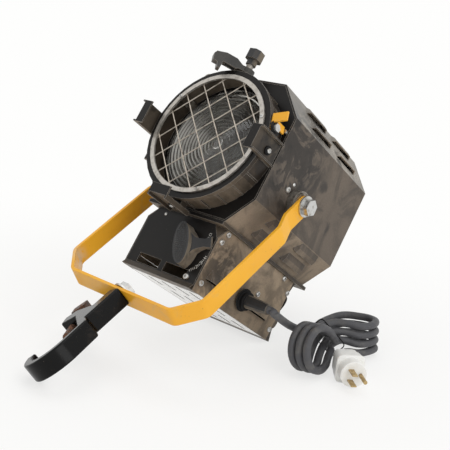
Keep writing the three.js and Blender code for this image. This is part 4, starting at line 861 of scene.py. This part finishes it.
# The hook's own frame, seen from its side (x, z), and the middles of its bore and of its screw's boss
CLAMP_DROP = -218.3 * MM
CLAMP_TURN = radians(150)
CLAMP = SWING @ Matrix.Translation((0, 0, CLAMP_DROP)) @ Matrix.Rotation(CLAMP_TURN, 4, "Z")
BORE = Vector((2, -96))
BOSS = Vector((53, -43))
HOOK = Sizes(half_width=11.5, shank_half=12, shank=51.5, step=8, bore=26, wall=11, edge=2.2)
HOOK_BOSS = Sizes(half=12.5, reach=14, heel_share=0.33)
HOOK_ARC = Sizes(back=180, tip_inside=331, tip_outside=326, outer_steps=44, inner_steps=36)


def arc_points(centre, radius, start, stop, steps):
    """Points of an arc between two angles in degrees."""
    turns = [radians(start + (stop - start) * i / steps) for i in range(steps + 1)]
    return [centre + Vector((cos(turn), sin(turn))) * radius for turn in turns]


def hook_outline():
    """The hook's side view, from the shank round the bore to the boss."""
    run = (BOSS - BORE).normalized()
    across = Vector((-run.y, run.x))
    bore, shank, shank_half = HOOK.bore, HOOK.shank, HOOK.shank_half
    outer = bore + HOOK.wall
    half, reach = HOOK_BOSS.half, HOOK_BOSS.reach
    return [
        Vector((shank_half, 0)),
        Vector((-shank_half, 0)),
        Vector((-shank_half, -shank)),
        Vector((BORE.x - outer + HOOK.step / 2, -shank - HOOK.step)),
        *arc_points(BORE, outer, HOOK_ARC.back, HOOK_ARC.tip_outside, HOOK_ARC.outer_steps),
        *arc_points(BORE, bore, HOOK_ARC.tip_inside, HOOK_ARC.back, HOOK_ARC.inner_steps),
        BORE + Vector((-bore, bore)),
        BOSS - run * reach + across * half,
        BOSS - run * reach * HOOK_BOSS.heel_share - across * half,
        BOSS + run * reach - across * half,
        BOSS + run * reach + across * half / 2,
        Vector((shank_half, -shank / 2)),
    ]


def add_hook_casting():
    """The hook's casting with its corners rounded, and the collar round its screw."""
    half = HOOK.half_width
    shape = Shape().prism([Vector((p.x, -half, p.y)) for p in hook_outline()], BACK, half * 2)
    piece = new_piece("hook_casting", shape, "clamp_paint", "pipe_clamp", place=CLAMP)
    bevel = round_edges(piece, HOOK.edge, segments=3)
    bevel.use_clamp_overlap = False
    bevel.harden_normals = True
    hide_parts("hook_clamp")


# The gland's middle on the box's side, and its flanges (radius, distance from the lamp's middle)
GLAND = Vector((0, 27, -127))
GLAND_SKIN = (60, 48, -127)
FLANGES = [(8.3, 71), (11.0, 71), (11.5, 70.5), (11.5, 68.8), (11, 68.4), (9.7, 68.2), (9.7, 66.9)]
FLANGES += [(12.6, 66.6), (13.0, 66.2), (13.0, 64.6), (14.0, 64.4), (14.5, 63.9)]


def add_gland_flanges():
    """The two round rubber flanges of the cord's gland."""
    skin = seat(GLAND_SKIN, RIGHT, *SIDE_SKINS).x
    shape = Shape().lathe(FLANGES + [(FLANGES[-1][0], skin - SINK)], GLAND, RIGHT)
    new_piece("gland_flanges", shape, "black_plastic", look=RUBBER)


BAIL = Sizes(angle=124, reach=86, y=-92, radius=7, rise=1.5, foot=3, wire=0.9, steps=16)


def add_wire_loop():
    """A small wire bail on the door's rim, left of the claw."""
    foot, out, side = round_lens(BAIL.angle, BAIL.reach, BAIL.y)
    turns = [pi * i / BAIL.steps for i in range(BAIL.steps + 1)]
    arch = [foot + out * BAIL.rise + polar(turn, side, out) * BAIL.radius for turn in turns]
    leg = out * BAIL.foot
    shape = Shape().tube([arch[0] - leg, *arch, arch[-1] - leg], BAIL.wire)
    new_piece("wire_loop", shape, "steel", "lens_door")


LATCH = Sizes(angle=17.5, reach=90.1, y=-91, washer=(9, 1.1))


def add_latch_washer():
    """A dark washer under the latch's bolt."""
    foot, out, _ = round_lens(LATCH.angle, LATCH.reach, LATCH.y)
    shape = add_head(Shape(), "washer", foot, out, *LATCH.washer)
    new_piece("latch_washer", shape, "black_plastic", "lens_door", RUBBER)


# The accessory channels' screws: angle about the lens and shift along the rim
CHANNEL_SCREWS = {"channel_right": (0, -3), "channel_left": (180, 3), "channel_bottom": (270, 3)}
CHANNEL = Sizes(reach=95, y=-96, washer=(5.4, 2.4), screw=(3.2, 1.8), screw_lift=2.2)


def add_channel_screws():
    """A screw on a rubber washer through the web of each accessory channel."""
    for name, (degrees, shift) in CHANNEL_SCREWS.items():
        foot, out, side = round_lens(degrees, CHANNEL.reach, CHANNEL.y)
        place = seat(foot + side * shift, out, name)
        rubber = add_head(Shape(), "washer", place, out, *CHANNEL.washer)
        new_piece(f"{name}_washer", rubber, "black_plastic", "lens_door", RUBBER)
        head = add_head(Shape(), "screw", place + out * CHANNEL.screw_lift, out, *CHANNEL.screw)
        new_piece(f"{name}_screw", head, "zinc", "lens_door")


def add_small_parts():
    add_fasteners()
    add_dial()
    add_lens()
    add_wires()
    add_yoke_bar()
    add_hook_casting()
    add_knob_web()
    add_knob_face("knob_face", KNOB_FRONT, FRONT, KNOB_LEAN)
    add_knob_face("rear_knob_face", KNOB_BACK, BACK, pi - KNOB_LEAN)
    add_gland_flanges()
    add_wire_loop()
    add_latch_washer()
    add_channel_screws()


add_small_parts()


# Cord: one line from the strain relief to the plug, in millimetres from the pivot's place on the floor

CORD = 9.6 * MM
SPACING = 3.5 * MM
HANK = Sizes(
    turns=3.31, steps=24, half=51, fold=25, waist=7, step=11.2,
    x=131, centre=33, left_turn=radians(-8), right_turn=radians(84), clearance=0.3,
)
LEFT_BOW = Sizes(reach=21, start=-30, length=96)
RIGHT_BOW = Sizes(reach=15, start=45, length=60)
LEAD_ROUTE = [(110, -47, 70), (116, -40, 63), (119.5, -26, 53), (120.5, -8, 44), (120, 10, 38)]
TAIL_ROUTE = [(166.5, 78, 9.6), (165, 62, 11.5), (163.5, 48, 15.5), (164.5, 35, 18.5), (168.5, 25.5, 18)]
RELIEF_TIP = Vector((102.9, 27, -127))


def eased(value, start, length):
    """0 before a stretch, 1 after it, and smooth between."""
    share = min(max((value - start) / length, 0), 1)
    return share * share * (3 - 2 * share)


def hank_x(y):
    """The hank's bowed middle line."""
    left = LEFT_BOW.reach * (1 - eased(y, LEFT_BOW.start, LEFT_BOW.length))
    right = RIGHT_BOW.reach * eased(y, RIGHT_BOW.start, RIGHT_BOW.length)
    return HANK.x + left + right


def hank_rise(angle):
    """The height of the hank's middle where its section leans by an angle."""
    stack = HANK.turns / 2 * HANK.step
    clear = CORD / MM / 2 + HANK.clearance
    return clear + HANK.fold * cos(angle) + stack * abs(sin(angle))


def hank_frame(along):
    """Where the hank's middle is at one place along it, and how its section lies there."""
    y = HANK.centre + along
    slope = hank_x(y + 0.5) - hank_x(y - 0.5)
    share = eased(along, -HANK.half, HANK.half * 2)
    left, right = HANK.left_turn, HANK.right_turn
    turn = left + (right - left) * share
    forward = Vector((slope, 1, 0)).normalized()
    side = Vector((forward.y, -forward.x, 0))
    origin = Vector((hank_x(y), y, hank_rise(left) * (1 - share) + hank_rise(right) * share))
    return origin, polar(turn, side, DOWN), polar(turn, UP, side)


def hank_width(along):
    """Half the width of a turn between its folds, narrow at the waist."""
    spread = (1 - cos(pi * abs(along) / HANK.half)) / 2
    return HANK.waist + (HANK.fold - HANK.waist) * spread


def hank_outline(turn):
    """A place along and across the hank after some turns; half a turn mirrors the other half."""
    half, fold = HANK.half, HANK.fold
    bend = pi * fold
    length = half * 2 + bend
    walked = turn * 2 % 1 * length
    if walked < half:
        along, across = walked, -hank_width(walked)
    elif walked < half + bend:
        angle = (walked - half) / fold - RIGHT_ANGLE
        along, across = half + fold * cos(angle), fold * sin(angle)
    else:
        along, across = length - walked, hank_width(length - walked)
    side = -1 if int(turn * 2) % 2 else 1
    return along * side, across * side


def hank_point(turn):
    along, across = hank_outline(turn)
    origin, columns, runs = hank_frame(along)
    return origin + columns * (turn - HANK.turns / 2) * HANK.step + runs * across


def row_place(point):
    """A point of the cord's route in metres in the row frame."""
    return Vector((point[0], point[1] + PIVOT.y / MM, point[2])) * MM


PLUG_BACK = row_place((176, 17, 17.7))
PLUG_HEADING = radians(-39.6)
PLUG_TOUCH = 0.3 * MM


def cord_points():
    """The cord's route: out of the relief, down the box, round the hank and into the plug."""
    tip = LAMP @ (RELIEF_TIP * MM)
    straight = [tip + RIGHT * CORD * share for share in (0, 0.5, 1)]
    lead = [row_place(point) for point in LEAD_ROUTE]
    count = round(HANK.turns * HANK.steps)
    loops = [row_place(hank_point(i / count * HANK.turns)) for i in range(count + 1)]
    tail = [row_place(point) for point in TAIL_ROUTE]
    heading = polar(PLUG_HEADING, RIGHT, BACK)
    entry = [PLUG_BACK - heading * before for before in (CORD, PLUG_TOUCH)]
    return straight + lead + loops + tail + entry


def chord_time(a, b):
    return max((b - a).length, 1e-6) ** 0.5


def between(a, b, start, stop, time):
    """The point between two at a time between theirs."""
    return a * ((stop - time) / (stop - start)) + b * ((time - start) / (stop - start))


def smooth_line(points, spacing):
    """Points of one smooth curve through the given points, about evenly spaced."""
    fine = [points[0]]
    ends = [points[0] * 2 - points[1]] + points + [points[-1] * 2 - points[-2]]
    for a, b, c, d in zip(ends, ends[1:], ends[2:], ends[3:]):
        steps = max(1, round((c - b).length / spacing))
        t1 = chord_time(a, b)
        t2 = t1 + chord_time(b, c)
        t3 = t2 + chord_time(c, d)
        for i in range(1, steps + 1):
            time = t1 + (t2 - t1) * i / steps
            p = between(a, b, 0, t1, time)
            q = between(b, c, t1, t2, time)
            r = between(c, d, t2, t3, time)
            u = between(p, q, 0, t2, time)
            v = between(q, r, t1, t3, time)
            fine.append(between(u, v, t1, t2, time))
    return fine


TIE = Sizes(wire=0.7, sides=8, corner=5, corner_steps=6, stands_off=0.6, pulls_in=1.4)


def add_tie():
    """A thin wire twisted once round the hank's waist."""
    origin, columns, runs = hank_frame(0)
    radius = CORD / MM / 2
    corner = TIE.corner
    across = HANK.waist + radius + TIE.stands_off - corner
    along = HANK.turns / 2 * HANK.step + radius - TIE.pulls_in - corner
    path = []
    for quarter, (a, b) in enumerate(((1, 1), (-1, 1), (-1, -1), (1, -1))):
        for i in range(TIE.corner_steps + 1):
            angle = RIGHT_ANGLE * (quarter + i / TIE.corner_steps)
            arc = polar(angle, columns, runs) * corner
            path.append(row_place(origin + columns * a * along + runs * b * across + arc) / MM)
    path.append(path[0])
    shape = Shape().tube(path, TIE.wire, TIE.sides)
    piece = new_piece("tie_wire", shape, "black_plastic", look=RUBBER, place=Matrix.Identity(4))
    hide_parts("cord_tie")
    return piece


# Sections of the plug's shell: distance from its back, half width, and squareness (2 is round)
PLUG_ROWS = [(0, 12.6, 5.5), (1.2, 14.0, 5.5), (11, 14.8, 5.5), (12, 15.6, 5.5), (28.4, 17.2, 5.5)]
PLUG_ROWS += [(29.6, 16.4, 5.5), (30, 15.6, 2), (44.2, 15.6, 2), (45, 14.8, 2)]
PLUG_POINTS = 48


def add_plug_shell():
    """The plug's squarish shell, a ridge round it, and its round front boss."""
    rows = []
    for along, half, power in PLUG_ROWS:
        row = []
        for i in range(PLUG_POINTS):
            angle = tau * (i + 0.5) / PLUG_POINTS
            c, d = cos(angle), sin(angle)
            reach = half / (abs(c) ** power + abs(d) ** power) ** (1 / power)
            row.append(Vector((along, reach * c, reach * d)))
        rows.append(row)
    place = Matrix.Translation(PLUG_BACK) @ Matrix.Rotation(PLUG_HEADING, 4, "Z")
    piece = new_piece("plug_shell", Shape().grid(rows), "plug", place=place)
    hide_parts("plug_body")
    return piece


def cord_curve(points):
    """A round curve as thick as the cord through the points."""
    curve = bpy.data.curves.new("cord_line", "CURVE")
    curve.dimensions = "3D"
    curve.bevel_depth = CORD / 2
    curve.bevel_resolution = 5
    curve.use_fill_caps = True
    spline = curve.splines.new("POLY")
    spline.points.add(len(points) - 1)
    for knot, point in zip(spline.points, points):
        knot.co = (*point, 1)
    spline.use_smooth = True
    curve.materials.append(looks["cord"].material)
    return curve


def add_cord():
    """The cord itself, with its tie and its plug."""
    tie = add_tie()
    plug = add_plug_shell()
    points = smooth_line(cord_points(), SPACING)
    piece = add_object("cord_line", cord_curve(points))
    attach(piece, "lamp_head")
    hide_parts("cord_lead", "cord_hank")


add_cord()


# Studio

CAMERA = Sizes(
    place=(0.717745, -0.753526, 0.413169),
    right=(0.725493, 0.681859, 0.093425),
    up=(-0.231643, 0.114099, 0.966086),
    back=(0.648076, -0.72253, 0.240726),
    lens=70.4165,
    sensor=36,
    near=0.01,
    far=60,
)
FLOOR = Sizes(half=14, white_from=(0.25, 0.8), whiteness=(0.7, 1.0))
WORLD_LIGHT = 0.7

# Lamps: name, place, width and power, all aimed at one point
LAMPS = [
    ("key", (1.9, -0.2, 2.2), 1.4, 11),
    ("top", (-0.5, 0.3, 2.6), 1.8, 10),
    ("low", (2.4, -0.6, 0.5), 1.4, 9),
]
AIM = Vector((0, 0.02, 0.15))


def add_camera():
    """The photograph's own place and lens."""
    data = bpy.data.cameras.new("camera")
    data.lens = CAMERA.lens
    data.sensor_width = CAMERA.sensor
    data.clip_start = CAMERA.near
    data.clip_end = CAMERA.far
    camera = add_object("camera", data)
    axes = Matrix((CAMERA.right, CAMERA.up, CAMERA.back)).transposed()
    camera.matrix_world = Matrix.Translation(CAMERA.place) @ axes.to_4x4()
    bpy.context.scene.camera = camera


def camera_share(tree):
    """1 for rays that show the surroundings: straight, mirrored or through glass."""
    rays = tree.nodes.new("ShaderNodeLightPath").outputs
    share = rays["Is Camera Ray"]
    for name in ("Is Glossy Ray", "Is Transmission Ray"):
        step = tree.nodes.new("ShaderNodeMath")
        step.operation = "MAXIMUM"
        share = put(step, {0: share, 1: rays[name]})["Value"]
    return share


def add_floor():
    """A pale floor that keeps the shadow near the object and is plain white further out."""
    half = FLOOR.half
    mesh = bpy.data.meshes.new("floor")
    corners = [(-half, -half, 0), (half, -half, 0), (half, half, 0), (-half, half, 0)]
    mesh.from_pydata(corners, [], [(0, 1, 2, 3)])
    look = Look("floor_paint", "floor", roughness=0.9, specular=0.05)
    away = look.vector("LENGTH", look.place, result="Value")
    far = look.ramp(away, FLOOR.white_from, FLOOR.whiteness)
    share = look.times(far, camera_share(look.tree))
    white = put(look.node("ShaderNodeEmission"), {"Color": tone("backdrop")})["Emission"]
    layers = {0: share, 1: look.shader.outputs["BSDF"], 2: white}
    surface = put(look.node("ShaderNodeMixShader"), layers)["Shader"]
    put(look.tree.nodes["Material Output"], {"Surface": surface})
    mesh.materials.append(look.material)
    floor = add_object("floor", mesh)


def add_lamps():
    """Three round lamps that look at the object."""
    for name, place, width, watts in LAMPS:
        data = bpy.data.lights.new(name, "AREA")
        data.shape = "DISK"
        data.size = width
        data.energy = watts
        light = add_object(name, data)
        light.location = place
        light.rotation_euler = (AIM - Vector(place)).to_track_quat("-Z", "Y").to_euler()


def add_world():
    """Plain pale surroundings: seen as white, and a little dimmer as a light."""
    world = bpy.data.worlds.new("world")
    world.use_nodes = True
    bpy.context.scene.world = world
    tree = world.node_tree
    level = tree.nodes.new("ShaderNodeMapRange")
    strength = put(level, {"Value": camera_share(tree), "To Min": WORLD_LIGHT})["Result"]
    put(tree.nodes["Background"], {"Color": tone("backdrop"), "Strength": strength})


add_camera()
add_floor()
add_world()
add_lamps()
bpy.context.scene.view_settings.view_transform = "Standard"
